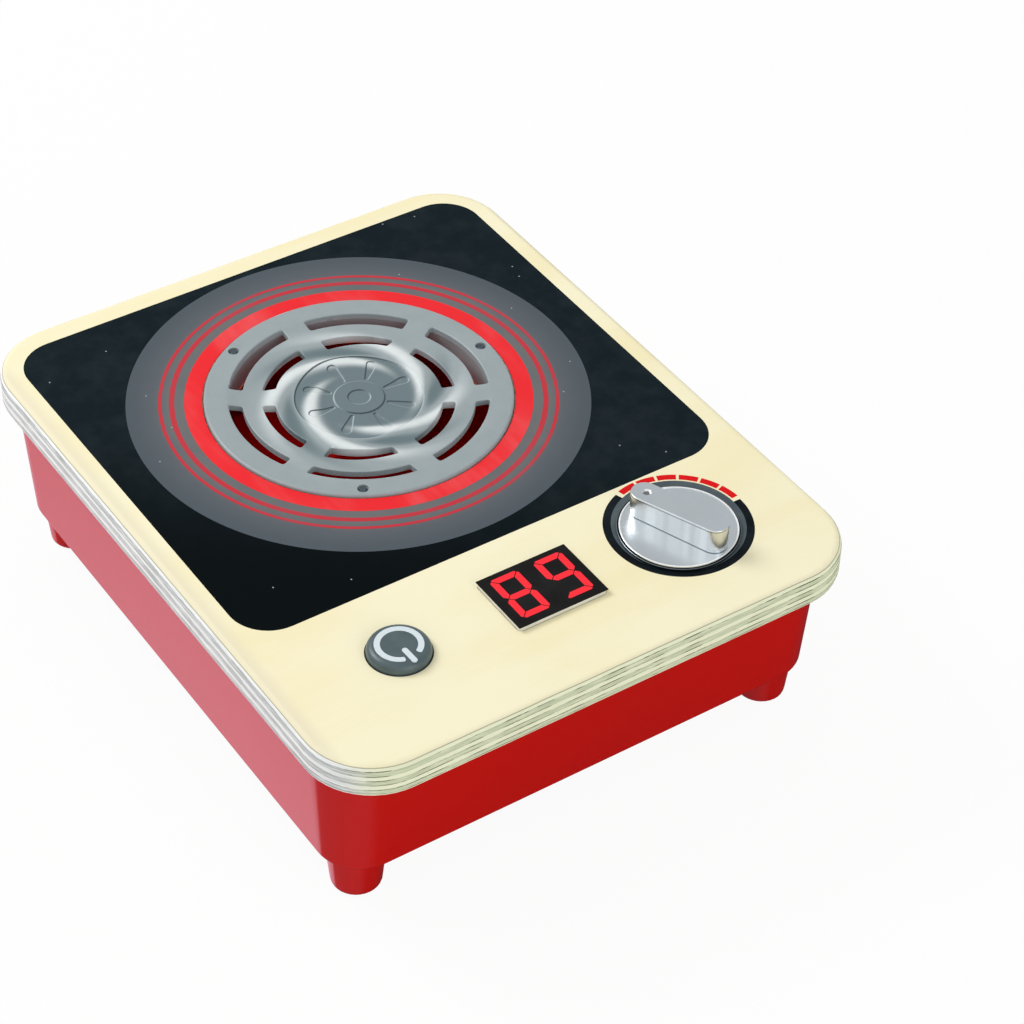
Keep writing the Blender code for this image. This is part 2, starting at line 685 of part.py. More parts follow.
def petal_cutter(angle):
    """One shallow petal of the hub: a narrow inner end and a round outer end."""
    inner = BOSS_RADIUS + STEP_RUN + PETAL_BOSS_GAP
    outer = HUB_RADIUS - PETAL_HUB_GAP
    end_radius = PETAL_OUTER_WIDTH / 2
    outline = [(inner, -PETAL_INNER_WIDTH / 2)]
    for step in range(CORNER_STEPS + 1):
        turn = math.pi * (step / CORNER_STEPS - 1 / 2)
        outline.append((outer - end_radius + end_radius * math.cos(turn), end_radius * math.sin(turn)))
    outline.append((inner, PETAL_INNER_WIDTH / 2))
    hub_face = plate_height(HUB_RADIUS) - HUB_STEP
    bottom = hub_face - PETAL_DEPTH
    top = hub_face + SWIRL_HEIGHT + OVERRUN
    return moved(loft([[Vector((x, y, z)) for x, y in outline] for z in (bottom, top)]), turn=angle)


def add_grille(parent):
    """The moulded grille in its rebate, with its origin on the board's top, and the screws in its lip."""
    place = Vector((0, BURNER_Y, BOARD_TOP))
    grille = solid("burner_grille", grille_shape(), place)
    spacing = 360 / SLOT_COUNT
    slots = []
    for index in range(SLOT_COUNT):
        slots.append(slot_cutter(INNER_SLOT_START, INNER_SLOT_END, spacing * index))
        slots.append(slot_cutter(OUTER_SLOT_START, OUTER_SLOT_END, spacing * index))
    slots += [petal_cutter(360 * index / PETAL_COUNT) for index in range(PETAL_COUNT)]
    combine(grille, "DIFFERENCE", gathered(slots))

    hub_under = plate_height(HUB_RADIUS) - HUB_STEP - GRILLE_THICKNESS
    boss_bottom = hub_under - LAMP_BOSS_LENGTH
    boss = cylinder(LAMP_BOSS_RADIUS, boss_bottom, hub_under + GRILLE_THICKNESS / 2)
    combine(grille, "UNION", boss)

    shank_hole = SMALL_SCREW_RADIUS + FIT
    head_hole = SMALL_SCREW_HEAD_RADIUS + FIT
    seat = GRILLE_SCREW_SEAT - FIT
    profile = [
        (0, LIP_HEIGHT - LIP_THICKNESS - OVERRUN),
        (shank_hole, LIP_HEIGHT - LIP_THICKNESS - OVERRUN),
        (shank_hole, seat),
        (head_hole, seat),
        (head_hole, LIP_HEIGHT + OVERRUN),
        (0, LIP_HEIGHT + OVERRUN),
    ]
    holes = []
    for index in range(GRILLE_SCREW_COUNT):
        angle = math.tau * index / GRILLE_SCREW_COUNT
        x = GRILLE_SCREW_CIRCLE * math.cos(angle)
        y = GRILLE_SCREW_CIRCLE * math.sin(angle)
        holes.append(moved(turned(profile, SMALL_SEGMENTS), x, y))
        screw_place = place + Vector((x, y, GRILLE_SCREW_SEAT))
        add_screw(
            f"grille_screw_{index + 1}", screw_place, SMALL_SCREW_LENGTH, parent,
            points_down=True, material_name="dark_steel",
        )
    lamp_bore_top = min(boss_bottom + SMALL_SCREW_LENGTH, hub_under)
    holes.append(cylinder(shank_hole, boss_bottom - OVERRUN, lamp_bore_top, SCREW_SEGMENTS))
    combine(grille, "DIFFERENCE", gathered(holes))
    finish(grille, "grey_plastic", parent)
    add_lamp(place + Vector((0, 0, boss_bottom)), parent)


def add_lamp(place, parent):
    """The small round light board, screwed up to the hub's boss, its lamps pointing down into the tray."""
    top = -FIT
    bottom = top - CIRCUIT_THICKNESS
    board = solid("lamp_board", cylinder(LAMP_BOARD_RADIUS, bottom, top, ROUND_SEGMENTS), place)
    bore = cylinder(SMALL_SCREW_RADIUS + FIT, bottom - OVERRUN, top + OVERRUN, SCREW_SEGMENTS)
    combine(board, "DIFFERENCE", bore)
    finish(board, "circuit_green", parent)
    screw_place = place + Vector((0, 0, bottom - FIT))
    add_screw("lamp_screw", screw_place, SMALL_SCREW_LENGTH - 2 * FIT, parent)
    led_top = bottom - FIT
    dome_start = led_top - LED_LENGTH + LED_RADIUS
    profile = [(0, led_top), (LED_RADIUS, led_top)]
    for inset, rise in reversed(quarter_round(LED_RADIUS)):
        profile.append((LED_RADIUS - inset, dome_start - LED_RADIUS + rise))
    for index in range(LED_COUNT):
        angle = math.tau * index / LED_COUNT
        offset = Vector((LED_CIRCLE_RADIUS * math.cos(angle), LED_CIRCLE_RADIUS * math.sin(angle), 0))
        led = solid(f"led_{index + 1}", turned(profile, SCREW_SEGMENTS), place + offset)
        finish(led, "red_led", parent)


# Display

def add_display(parent):
    """The white tile in its pocket and the film that is stuck on it."""
    place = Vector((DISPLAY_X, CONTROLS_Y, BOARD_TOP))
    half_x = LABEL_WIDTH / 2
    half_y = LABEL_DEPTH / 2
    tile = slab(
        half_x - TILE_MARGIN, half_y - TILE_MARGIN, TILE_CORNER_RADIUS, FIT - TILE_POCKET_DEPTH, TILE_TOP
    )
    finish(solid("display_tile", tile, place), "white_plastic", parent)
    film = bmesh.new()
    bmesh.ops.create_cube(film, size=1)
    bmesh.ops.scale(film, vec=(LABEL_WIDTH, LABEL_DEPTH, LABEL_THICKNESS), verts=film.verts)
    film_place = place + Vector((0, 0, LABEL_HEIGHT - LABEL_THICKNESS / 2))
    finish(solid("display_label", film, film_place), "black_film", parent)


# Power button

def add_button(parent):
    """The hollow cap with its flange and stem, its return spring, and the guide that holds them."""
    place = Vector((BUTTON_X, CONTROLS_Y, BOARD_TOP))
    roof_under = CAP_HEIGHT - CAP_ROOF
    flange_top = BUTTON_POCKET_DEPTH - BOARD_THICKNESS - FIT
    flange_bottom = flange_top - CAP_FLANGE_THICKNESS
    profile = [
        (0, GUIDE_BOTTOM),
        (STEM_RADIUS, GUIDE_BOTTOM),
        (STEM_RADIUS, roof_under),
        (CAP_RADIUS - CAP_WALL, roof_under),
        (CAP_RADIUS - CAP_WALL, flange_bottom),
        (CAP_FLANGE_RADIUS, flange_bottom),
        (CAP_FLANGE_RADIUS, flange_top),
        (CAP_RADIUS, flange_top),
    ]
    for inset, drop in reversed(quarter_round(CAP_EDGE_RADIUS, EDGE_STEPS + 1)):
        profile.append((CAP_RADIUS - inset, CAP_HEIGHT - drop))
    profile.append((0, CAP_HEIGHT))
    finish(solid("power_button", turned(profile, ROUND_SEGMENTS), place), "slate_plastic", parent)

    spring_bottom = GUIDE_TOP + FIT
    spring_length = roof_under - FIT - spring_bottom
    spring_place = place + Vector((0, 0, spring_bottom))
    add_spring(
        "button_spring", SPRING_RADIUS, SPRING_WIRE_RADIUS, spring_length, SPRING_CURLS, spring_place, parent
    )
    add_guide(place, parent)
    add_switch(place, parent)


def add_guide(place, parent):
    """The guide plate with its spring collar, its stem hole and the two legs that carry the circuit board."""
    plate = slab(GUIDE_HALF_X, GUIDE_HALF_Y, GUIDE_CORNER_RADIUS, GUIDE_BOTTOM, GUIDE_TOP)
    guide = solid("button_guide", plate, place)
    collar_radius = STEM_RADIUS + FIT + GUIDE_COLLAR_WALL
    collar = cylinder(collar_radius, GUIDE_BOTTOM + GUIDE_THICKNESS / 2, GUIDE_TOP + GUIDE_COLLAR_HEIGHT)
    leg_y = GUIDE_HALF_Y - LEG_RADIUS
    leg_bottom = CIRCUIT_TOP + FIT
    legs = [
        moved(cylinder(LEG_RADIUS, leg_bottom, GUIDE_BOTTOM + GUIDE_THICKNESS / 2), 0, side * leg_y)
        for side in (-1, 1)
    ]
    combine(guide, "UNION", gathered([collar, *legs]))
    bore = SMALL_SCREW_RADIUS + FIT
    holes = [cylinder(STEM_RADIUS + FIT, GUIDE_BOTTOM - OVERRUN, GUIDE_TOP + GUIDE_COLLAR_HEIGHT + OVERRUN)]
    leg_bore_top = CIRCUIT_BOTTOM - FIT + SMALL_SCREW_LENGTH + FIT
    for side in (-1, 1):
        lug_hole = cylinder(bore, GUIDE_BOTTOM - OVERRUN, GUIDE_TOP + OVERRUN, SCREW_SEGMENTS)
        holes.append(moved(lug_hole, side * GUIDE_SCREW_X, 0))
        leg_hole = cylinder(bore, leg_bottom - OVERRUN, leg_bore_top, SCREW_SEGMENTS)
        holes.append(moved(leg_hole, 0, side * leg_y))
    combine(guide, "DIFFERENCE", gathered(holes))
    finish(guide, "black_plastic", parent)

    circuit = solid(
        "circuit_board",
        slab(CIRCUIT_WIDTH / 2, CIRCUIT_DEPTH / 2, STEM_RADIUS, CIRCUIT_BOTTOM, CIRCUIT_TOP),
        place,
    )
    circuit_holes = []
    for side in (-1, 1):
        circuit_hole = cylinder(bore, CIRCUIT_BOTTOM - OVERRUN, CIRCUIT_TOP + OVERRUN, SCREW_SEGMENTS)
        circuit_holes.append(moved(circuit_hole, 0, side * leg_y))
    combine(circuit, "DIFFERENCE", gathered(circuit_holes))
    finish(circuit, "circuit_green", parent)
    for index, side in enumerate((-1, 1)):
        guide_screw = place + Vector((side * GUIDE_SCREW_X, 0, GUIDE_BOTTOM - FIT))
        add_screw(f"guide_screw_{index + 1}", guide_screw, SMALL_SCREW_LENGTH, parent)
        board_screw = place + Vector((0, side * leg_y, CIRCUIT_BOTTOM - FIT))
        add_screw(f"board_screw_{index + 1}", board_screw, SMALL_SCREW_LENGTH, parent)


def add_switch(place, parent):
    """The travel switch below the stem: a square body with a bore, and the plunger that goes down into it."""
    half = SWITCH_WIDTH / 2
    switch_bottom = CIRCUIT_TOP + FIT
    body = solid("switch_body", slab(half, half, PLUNGER_HOLD, switch_bottom, SWITCH_TOP), place)
    bore_bottom = SWITCH_TOP - PLUNGER_HOLD - CAP_TRAVEL - FIT
    combine(body, "DIFFERENCE", cylinder(PLUNGER_RADIUS + FIT, bore_bottom, SWITCH_TOP + OVERRUN))
    finish(body, "black_plastic", parent)
    plunger = cylinder(PLUNGER_RADIUS, SWITCH_TOP - PLUNGER_HOLD, PLUNGER_TOP)
    finish(solid("switch_plunger", plunger, place), "white_plastic", parent)


# Knob

def add_knob(parent):
    """The disc with its pointer bar and shaft, the bush it turns in, and the washer and screw below it."""
    place = Vector((KNOB_X, CONTROLS_Y, BOARD_TOP))
    shaft_end = BUSH_BOTTOM
    groove_radius = KNOB_RADIUS - KNOB_GROOVE
    skirt_top = KNOB_SKIRT_HEIGHT
    groove_top = skirt_top + KNOB_GROOVE
    rim_inner = KNOB_RADIUS - KNOB_GROOVE / 2 - KNOB_RIM_WIDTH
    face = KNOB_RIM_HEIGHT - KNOB_RIM_DEPTH
    profile = [
        (0, shaft_end),
        (SHAFT_RADIUS, shaft_end),
        (SHAFT_RADIUS, FIT),
        (KNOB_RADIUS, FIT),
        (KNOB_RADIUS, skirt_top),
        (groove_radius, skirt_top),
        (groove_radius, groove_top),
        (KNOB_RADIUS - KNOB_GROOVE / 2, groove_top),
        (KNOB_RADIUS - KNOB_GROOVE / 2, KNOB_RIM_HEIGHT),
        (rim_inner, KNOB_RIM_HEIGHT),
        (rim_inner - KNOB_RIM_DEPTH, face),
        (0, face),
    ]
    knob = solid("knob", turned(profile, ROUND_SEGMENTS), place)
    combine(knob, "UNION", bar_shape(skirt_top))
    pointer_x = BAR_LENGTH / 2 - POINTER_FROM_END
    pointer_profile = [
        (0, BAR_TOP - POINTER_DEPTH),
        (POINTER_RADIUS, BAR_TOP),
        (POINTER_RADIUS, BAR_TOP + OVERRUN),
        (0, BAR_TOP + OVERRUN),
    ]
    pointer = turned(pointer_profile, SMALL_SEGMENTS)
    screw_bore = cylinder(LARGE_SCREW_RADIUS + FIT, shaft_end - OVERRUN, WASHER_BOTTOM + LARGE_SCREW_LENGTH)
    combine(knob, "DIFFERENCE", gathered([moved(pointer, pointer_x), screw_bore]))
    knob.rotation_euler.z = math.radians(KNOB_ANGLE)
    finish(knob, "silver_finish", parent)

    bush_profile = [
        (BUSH_INNER_RADIUS, BUSH_BOTTOM),
        (BUSH_RADIUS + BUSH_FLANGE_WIDTH, BUSH_BOTTOM),
        (BUSH_RADIUS + BUSH_FLANGE_WIDTH, BUSH_BOTTOM + BUSH_FLANGE_THICKNESS),
        (BUSH_RADIUS, BUSH_BOTTOM + BUSH_FLANGE_THICKNESS),
        (BUSH_RADIUS, 0),
        (BUSH_INNER_RADIUS, 0),
    ]
    bush = solid("knob_bush", turned(bush_profile, SMALL_SEGMENTS, closed=True), place)
    finish(bush, "black_plastic", parent)
    hole = LARGE_SCREW_RADIUS + FIT
    washer_profile = [
        (hole, WASHER_BOTTOM),
        (BUSH_INNER_RADIUS + WASHER_OVERLAP, WASHER_BOTTOM),
        (BUSH_INNER_RADIUS + WASHER_OVERLAP, WASHER_TOP),
        (hole, WASHER_TOP),
    ]
    washer = solid("knob_washer", turned(washer_profile, SMALL_SEGMENTS, closed=True), place)
    finish(washer, "bright_steel", parent)
    screw_place = place + Vector((0, 0, WASHER_BOTTOM - FIT))
    add_screw("knob_screw", screw_place, LARGE_SCREW_LENGTH, parent, large=True)


def bar_shape(bottom):
    """The knob's pointer bar along its own X axis: straight sides, half-round ends and an eased top edge."""
    rings = []
    for inset, height in ((0, bottom), (0, BAR_TOP - BAR_EDGE), (BAR_EDGE, BAR_TOP)):
        half_y = BAR_WIDTH / 2 - inset
        ring = rounded_rectangle(BAR_LENGTH / 2 - inset, half_y, half_y - MERGE_DISTANCE * 2, height)
        rings.append(ring)
    return loft(rings)


# Moulded tray

def tray_outline(height, inset=0):
    """The tray's drafted outline at a height above the table, moved in by the inset."""
    share = (height - FOOT_HEIGHT) / TRAY_HEIGHT
    move = TRAY_DRAFT * (1 - share) + inset
    radius = TRAY_CORNER_RADIUS - move
    return rounded_rectangle(TRAY_TOP_HALF_X - move, TRAY_TOP_HALF_Y - move, radius, height, OUTLINE_STEPS)


def tray_shell():
    """The outside of the tray as a filled block, with its round lower edge."""
    rings = [tray_outline(FOOT_HEIGHT + rise, inset) for inset, rise in quarter_round(TRAY_EDGE_RADIUS)]
    rings.append(tray_outline(TRAY_RIM))
    return loft(rings)


def foot_profile(thinner_by, bottom, top, edge_steps):
    """Half the section of a foot, from its eased lower edge up to the tray."""
    profile = [(0, bottom)]
    low_radius = FOOT_BOTTOM_RADIUS - thinner_by
    for inset, rise in quarter_round(FOOT_EDGE_RADIUS, edge_steps):
        profile.append((low_radius - inset, bottom + rise))
    profile.append((FOOT_TOP_RADIUS - thinner_by, FOOT_HEIGHT))
    profile.append((FOOT_TOP_RADIUS - thinner_by, top))
    profile.append((0, top))
    return profile


def on_feet(make_shape):
    """One shape for each foot, gathered."""
    x = TRAY_BOTTOM_HALF_X - FOOT_SIDE_INSET
    y = TRAY_BOTTOM_HALF_Y - FOOT_END_INSET
    return gathered([moved(make_shape(), side_x * x, side_y * y) for side_x in (-1, 1) for side_y in (-1, 1)])


def on_posts(make_shape):
    """One shape for each screw post, as a list."""
    return [
        moved(make_shape(), side_x * POST_X, side_y * POST_Y) for side_x in (-1, 1) for side_y in (-1, 1)
    ]


def add_tray(parent):
    """The red tray: shell, hollow feet, screw posts, battery bay, speaker ring and its screws."""
    half_floor = FOOT_HEIGHT + TRAY_WALL / 2
    tray = solid("base_tray", tray_shell())
    combine(tray, "UNION", on_feet(lambda: turned(foot_profile(0, 0, half_floor, EDGE_STEPS), FOOT_SEGMENTS)))
    inside = [
        tray_outline(TRAY_FLOOR_TOP, TRAY_WALL + TRAY_EDGE_RADIUS),
        tray_outline(TRAY_FLOOR_TOP + TRAY_EDGE_RADIUS, TRAY_WALL),
        tray_outline(TRAY_RIM + OVERRUN, TRAY_WALL),
    ]
    combine(tray, "DIFFERENCE", loft(inside))
    foot_core = foot_profile(TRAY_WALL, TRAY_WALL, TRAY_FLOOR_TOP + OVERRUN, 1)
    combine(tray, "DIFFERENCE", on_feet(lambda: turned(foot_core, SMALL_SEGMENTS)))

    recess_half_x = DOOR_HALF_X + FIT
    recess_half_y = DOOR_HALF_Y + FIT
    pad_top = RECESS_TOP + TRAY_WALL
    pad = slab(
        recess_half_x + BAY_WALL, recess_half_y + BAY_WALL, DOOR_CORNER_RADIUS + BAY_WALL, half_floor, pad_top
    )
    ring_radius = SPEAKER_RING_RADIUS + SPEAKER_RING_WALL
    speaker_ring = cylinder(ring_radius, half_floor, SPEAKER_FRAME_TOP, ROUND_SEGMENTS)
    standing = on_posts(lambda: cylinder(POST_RADIUS, half_floor, TRAY_RIM))
    standing.append(moved(pad, 0, BAY_Y))
    standing.append(moved(speaker_ring, SPEAKER_X, SPEAKER_Y))
    combine(tray, "UNION", gathered(standing))

    bay = slab(
        BAY_HALF_X + BAY_WALL, BAY_HALF_Y + BAY_WALL, BAY_WALL, half_floor, BAY_ROOF_BOTTOM + BAY_WALL
    )
    combine(tray, "UNION", moved(bay, 0, BAY_Y))
    boss_radius = LARGE_SCREW_RADIUS + FIT + BAY_WALL
    bosses = [
        moved(cylinder(boss_radius, half_floor, pad_top + DOOR_BOSS_HEIGHT), side * DOOR_SCREW_X, BAY_Y)
        for side in (-1, 1)
    ]
    combine(tray, "UNION", gathered(bosses))
    speaker_bosses = gathered(
        [moved(cylinder(boss_radius, half_floor, SPEAKER_FRAME_TOP), x, y) for x, y in speaker_screw_places()]
    )
    combine(tray, "UNION", speaker_bosses)
    well = cylinder(SPEAKER_RING_RADIUS, TRAY_FLOOR_TOP, SPEAKER_FRAME_TOP + OVERRUN, ROUND_SEGMENTS)
    combine(tray, "DIFFERENCE", moved(well, SPEAKER_X, SPEAKER_Y))

    below = FOOT_HEIGHT - OVERRUN
    bay_cutter = loft([
        rounded_rectangle(recess_half_x, recess_half_y, DOOR_CORNER_RADIUS, below),
        rounded_rectangle(recess_half_x, recess_half_y, DOOR_CORNER_RADIUS, RECESS_TOP),
        rounded_rectangle(BAY_HALF_X, BAY_HALF_Y, CELL_EDGE, RECESS_TOP),
        rounded_rectangle(BAY_HALF_X, BAY_HALF_Y, CELL_EDGE, BAY_ROOF_BOTTOM),
    ])
    cutters = [moved(bay_cutter, 0, BAY_Y)]
    shank_hole = LARGE_SCREW_RADIUS + FIT
    head_hole = LARGE_SCREW_HEAD_RADIUS + FIT
    seat = TRAY_RIM - POST_SEAT_THICKNESS
    post_bore = [
        (0, below),
        (head_hole, below),
        (head_hole, seat),
        (shank_hole, seat),
        (shank_hole, TRAY_RIM + OVERRUN),
        (0, TRAY_RIM + OVERRUN),
    ]
    cutters += on_posts(lambda: turned(post_bore, SMALL_SEGMENTS))
    combine(tray, "DIFFERENCE", gathered(cutters))

    bores = []
    door_bore_top = FOOT_HEIGHT + DOOR_SCREW_SEAT + LARGE_SCREW_LENGTH
    for side in (-1, 1):
        bore = cylinder(shank_hole, RECESS_TOP - FIT, door_bore_top, SCREW_SEGMENTS)
        bores.append(moved(bore, side * DOOR_SCREW_X, BAY_Y))
    for x, y in speaker_screw_places():
        bore = cylinder(shank_hole, half_floor, SPEAKER_FRAME_TOP + OVERRUN, SCREW_SEGMENTS)
        bores.append(moved(bore, x, y))
    for index in range(SOUND_HOLE_COUNT + 1):
        angle = math.tau * index / SOUND_HOLE_COUNT
        circle_radius = SOUND_HOLE_CIRCLE_RADIUS if index < SOUND_HOLE_COUNT else 0
        x = SPEAKER_X + circle_radius * math.cos(angle)
        y = SPEAKER_Y + circle_radius * math.sin(angle)
        sound_hole = cylinder(SOUND_HOLE_RADIUS, below, TRAY_FLOOR_TOP + OVERRUN, SCREW_SEGMENTS)
        bores.append(moved(sound_hole, x, y))
    combine(tray, "DIFFERENCE", gathered(bores))
    finish(tray, "red_plastic", parent)
    screw_places = [(side_x * POST_X, side_y * POST_Y) for side_x in (-1, 1) for side_y in (-1, 1)]
    for index, (x, y) in enumerate(screw_places):
        screw_place = (x, y, seat - FIT)
        add_screw(f"tray_screw_{index + 1}", screw_place, TRAY_SCREW_LENGTH, parent, large=True)


def speaker_screw_places():
    """(x, y) of the two screws beside the speaker, whose heads lap over its frame."""
    turns = [math.radians(angle) for angle in SPEAKER_SCREW_ANGLES]
    return [
        (SPEAKER_X + SPEAKER_SCREW_CIRCLE * math.cos(turn), SPEAKER_Y + SPEAKER_SCREW_CIRCLE * math.sin(turn))
        for turn in turns
    ]


def add_speaker(parent):
    """The loudspeaker, face down in its ring over the sound holes, and its two screws."""
    place = Vector((SPEAKER_X, SPEAKER_Y, TRAY_FLOOR_TOP + FIT))
    cone_edge = SPEAKER_RADIUS - SPEAKER_FRAME_WIDTH
    basket_top = SPEAKER_FRAME_THICKNESS + SPEAKER_BASKET_HEIGHT
    profile = [
        (0, SPEAKER_CONE_DEPTH),
        (SPEAKER_MAGNET_RADIUS / 2, SPEAKER_CONE_DEPTH),
        (cone_edge, 0),
        (SPEAKER_RADIUS, 0),
        (SPEAKER_RADIUS, SPEAKER_FRAME_THICKNESS),
        (cone_edge, SPEAKER_FRAME_THICKNESS),
        (SPEAKER_MAGNET_RADIUS, basket_top),
        (SPEAKER_MAGNET_RADIUS, basket_top + SPEAKER_MAGNET_HEIGHT),
        (0, basket_top + SPEAKER_MAGNET_HEIGHT),
    ]
    finish(solid("speaker", turned(profile, ROUND_SEGMENTS), place), "black_plastic", parent)
    for index, (x, y) in enumerate(speaker_screw_places()):
        screw = f"speaker_screw_{index + 1}"
        screw_place = (x, y, SPEAKER_FRAME_TOP + FIT)
        add_screw(screw, screw_place, SPEAKER_SCREW_LENGTH, parent, large=True, points_down=True)


# Batteries

def add_cells(parent):
    """Two cells that lie side by side, head to tail, with their contacts."""
    for index, side in enumerate((-1, 1)):
        place = Vector((0, BAY_Y + side * CELL_Y, CELL_AXIS_HEIGHT))
        nub_end = BAY_HALF_X - FIT - CONTACT_THICKNESS - FIT
        shoulder = nub_end - CELL_NUB_LENGTH
        base = nub_end - CELL_LENGTH
        profile = [
            (0, base),
            (CELL_RADIUS - CELL_EDGE, base),
            (CELL_RADIUS, base + CELL_EDGE),
            (CELL_RADIUS, shoulder - CELL_EDGE),
            (CELL_RADIUS - CELL_EDGE, shoulder),
            (CELL_NUB_RADIUS, shoulder),
            (CELL_NUB_RADIUS, nub_end),
            (0, nub_end),
        ]
        cell = solid(f"battery_{index + 1}", turned(profile, SMALL_SEGMENTS), place)
        cell.rotation_euler.y = -side * math.pi / 2
        finish(cell, "cell_sleeve", parent)
        spring_start = -side * (-BAY_HALF_X + FIT + CONTACT_THICKNESS + FIT)
        spring_length = base + BAY_HALF_X - CONTACT_THICKNESS - 3 * FIT
        spring_place = place + Vector((spring_start, 0, 0))
        add_spring(
            f"battery_spring_{index + 1}", CONTACT_SPRING_RADIUS, CONTACT_WIRE_RADIUS, spring_length,
            CONTACT_SPRING_CURLS, spring_place, parent, turn=(0, -side * math.pi / 2, 0),
        )
    wall_x = BAY_HALF_X - FIT - CONTACT_THICKNESS / 2
    pair_width = 2 * CELL_Y + CONTACT_WIDTH
    contacts = (
        ("battery_bridge", wall_x, 0, pair_width),
        ("terminal_plus", -wall_x, CELL_Y, CONTACT_WIDTH),
        ("terminal_minus", -wall_x, -CELL_Y, CONTACT_WIDTH),
    )
    for name, x, y, width in contacts:
        plate = bmesh.new()
        bmesh.ops.create_cube(plate, size=1)
        bmesh.ops.scale(plate, vec=(CONTACT_THICKNESS, width, CONTACT_HEIGHT), verts=plate.verts)
        contact = solid(name, plate, (x, BAY_Y + y, CELL_AXIS_HEIGHT))
        finish(contact, "bright_steel", parent)


def add_door(parent):
    """The battery door, flush with the tray's underside, and the two screws that hold it."""
    place = Vector((0, BAY_Y, FOOT_HEIGHT))
    door = solid(
        "battery_door", slab(DOOR_HALF_X, DOOR_HALF_Y, DOOR_CORNER_RADIUS - FIT, 0, DOOR_THICKNESS), place
    )
    profile = [
        (0, -OVERRUN),
        (LARGE_SCREW_HEAD_RADIUS + FIT, -OVERRUN),
        (LARGE_SCREW_HEAD_RADIUS + FIT, DOOR_SCREW_SEAT),
        (LARGE_SCREW_RADIUS + FIT, DOOR_SCREW_SEAT),
        (LARGE_SCREW_RADIUS + FIT, DOOR_THICKNESS + OVERRUN),
        (0, DOOR_THICKNESS + OVERRUN),
    ]
    holes = [moved(turned(profile, SMALL_SEGMENTS), side * DOOR_SCREW_X) for side in (-1, 1)]
    combine(door, "DIFFERENCE", gathered(holes))
    finish(door, "red_plastic", parent)
    for index, side in enumerate((-1, 1)):
        screw_place = place + Vector((side * DOOR_SCREW_X, 0, DOOR_SCREW_SEAT - FIT))
        add_screw(f"door_screw_{index + 1}", screw_place, LARGE_SCREW_LENGTH, parent, large=True)


clear_scene()
cooker = bpy.data.objects.new("cooker", None)
bpy.context.scene.collection.objects.link(cooker)
add_board(cooker)
add_grille(cooker)
add_display(cooker)
add_button(cooker)
add_knob(cooker)
add_tray(cooker)
add_speaker(cooker)
add_cells(cooker)
add_door(cooker)
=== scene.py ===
import json
import math

import bmesh
import bpy
from mathutils import Matrix, Vector


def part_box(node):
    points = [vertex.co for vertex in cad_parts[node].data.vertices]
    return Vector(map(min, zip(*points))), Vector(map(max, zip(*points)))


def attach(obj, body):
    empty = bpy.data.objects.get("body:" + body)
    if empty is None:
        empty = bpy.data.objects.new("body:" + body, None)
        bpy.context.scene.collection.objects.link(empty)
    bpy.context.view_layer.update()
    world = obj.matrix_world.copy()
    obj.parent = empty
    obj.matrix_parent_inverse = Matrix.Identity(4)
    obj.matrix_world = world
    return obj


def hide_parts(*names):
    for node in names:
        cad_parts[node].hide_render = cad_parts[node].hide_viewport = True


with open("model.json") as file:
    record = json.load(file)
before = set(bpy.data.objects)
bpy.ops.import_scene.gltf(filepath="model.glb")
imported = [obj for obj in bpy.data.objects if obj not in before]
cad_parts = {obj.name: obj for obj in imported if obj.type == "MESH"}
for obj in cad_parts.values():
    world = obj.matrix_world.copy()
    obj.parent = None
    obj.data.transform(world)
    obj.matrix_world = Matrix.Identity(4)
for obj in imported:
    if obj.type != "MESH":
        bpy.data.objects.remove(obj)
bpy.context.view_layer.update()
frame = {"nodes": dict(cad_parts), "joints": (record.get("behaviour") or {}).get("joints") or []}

nodes = frame["nodes"]
MM = 0.001


# Plywood board
# The top is a birch plywood board, glued up from seven plies. Its corners and its upper edge are rounded
# with a router and sanded. The holes for grille, tile, button and knob are milled before it is printed.

PLY_COUNT = 7
FACE_PLY_SHARE = 0.42
FACE_PLY_EASE = 0.06
GLUE_LINE_SHARE = 0.12
EDGE_WAVE = 0.10
PLY_DEPTH = 0.12 * MM
FIBRE_DEPTH = 0.002 * MM
BUTTON_HOLE = 9.5 * MM
GAP_SHADE_WIDTH = 0.4 * MM
LEFT_PAINTED_LIGHT_WIDTH = 13 * MM
WELD = 0.004 * MM
SHARP_ANGLE = 32
NOISE_LOW = 0.3
NOISE_HIGH = 0.7


def middle(low, high, height=0.0):
    """The point at a height in the middle of a box."""
    return Vector(((low.x + high.x) / 2, (low.y + high.y) / 2, height))


def screen(red, green, blue):
    """The light that a screen colour from 0 to 255 stands for, as red, green, blue and alpha."""
    steps = [channel / 255 for channel in (red, green, blue)]
    return (*[step / 12.92 if step < 0.04045 else ((step + 0.055) / 1.055) ** 2.4 for step in steps], 1)


board_low, board_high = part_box("top_board")
board_top = board_high.z
ply = (board_high.z - board_low.z) / PLY_COUNT
button_low, button_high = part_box("power_button")
button = middle(button_low, button_high)

VENEER = screen(249, 242, 208)
VENEER_WARM = screen(245, 235, 192)
VENEER_PAINTED_SHADE = screen(234, 226, 196)
LONG_PLY = screen(246, 250, 216)
CROSS_PLY = screen(200, 209, 174)
LONG_PLY_PAINTED_LIGHT = screen(248, 250, 248)
CROSS_PLY_PAINTED_LIGHT = screen(186, 190, 192)
GLUE_LINE = screen(92, 92, 70)
GAP_PAINTED_SHADE = screen(26, 26, 24)


def feed(socket, value):
    """Links a socket to the one that feeds it, or sets it to a plain value."""
    if isinstance(value, bpy.types.NodeSocket):
        socket.id_data.links.new(value, socket)
    else:
        socket.default_value = value


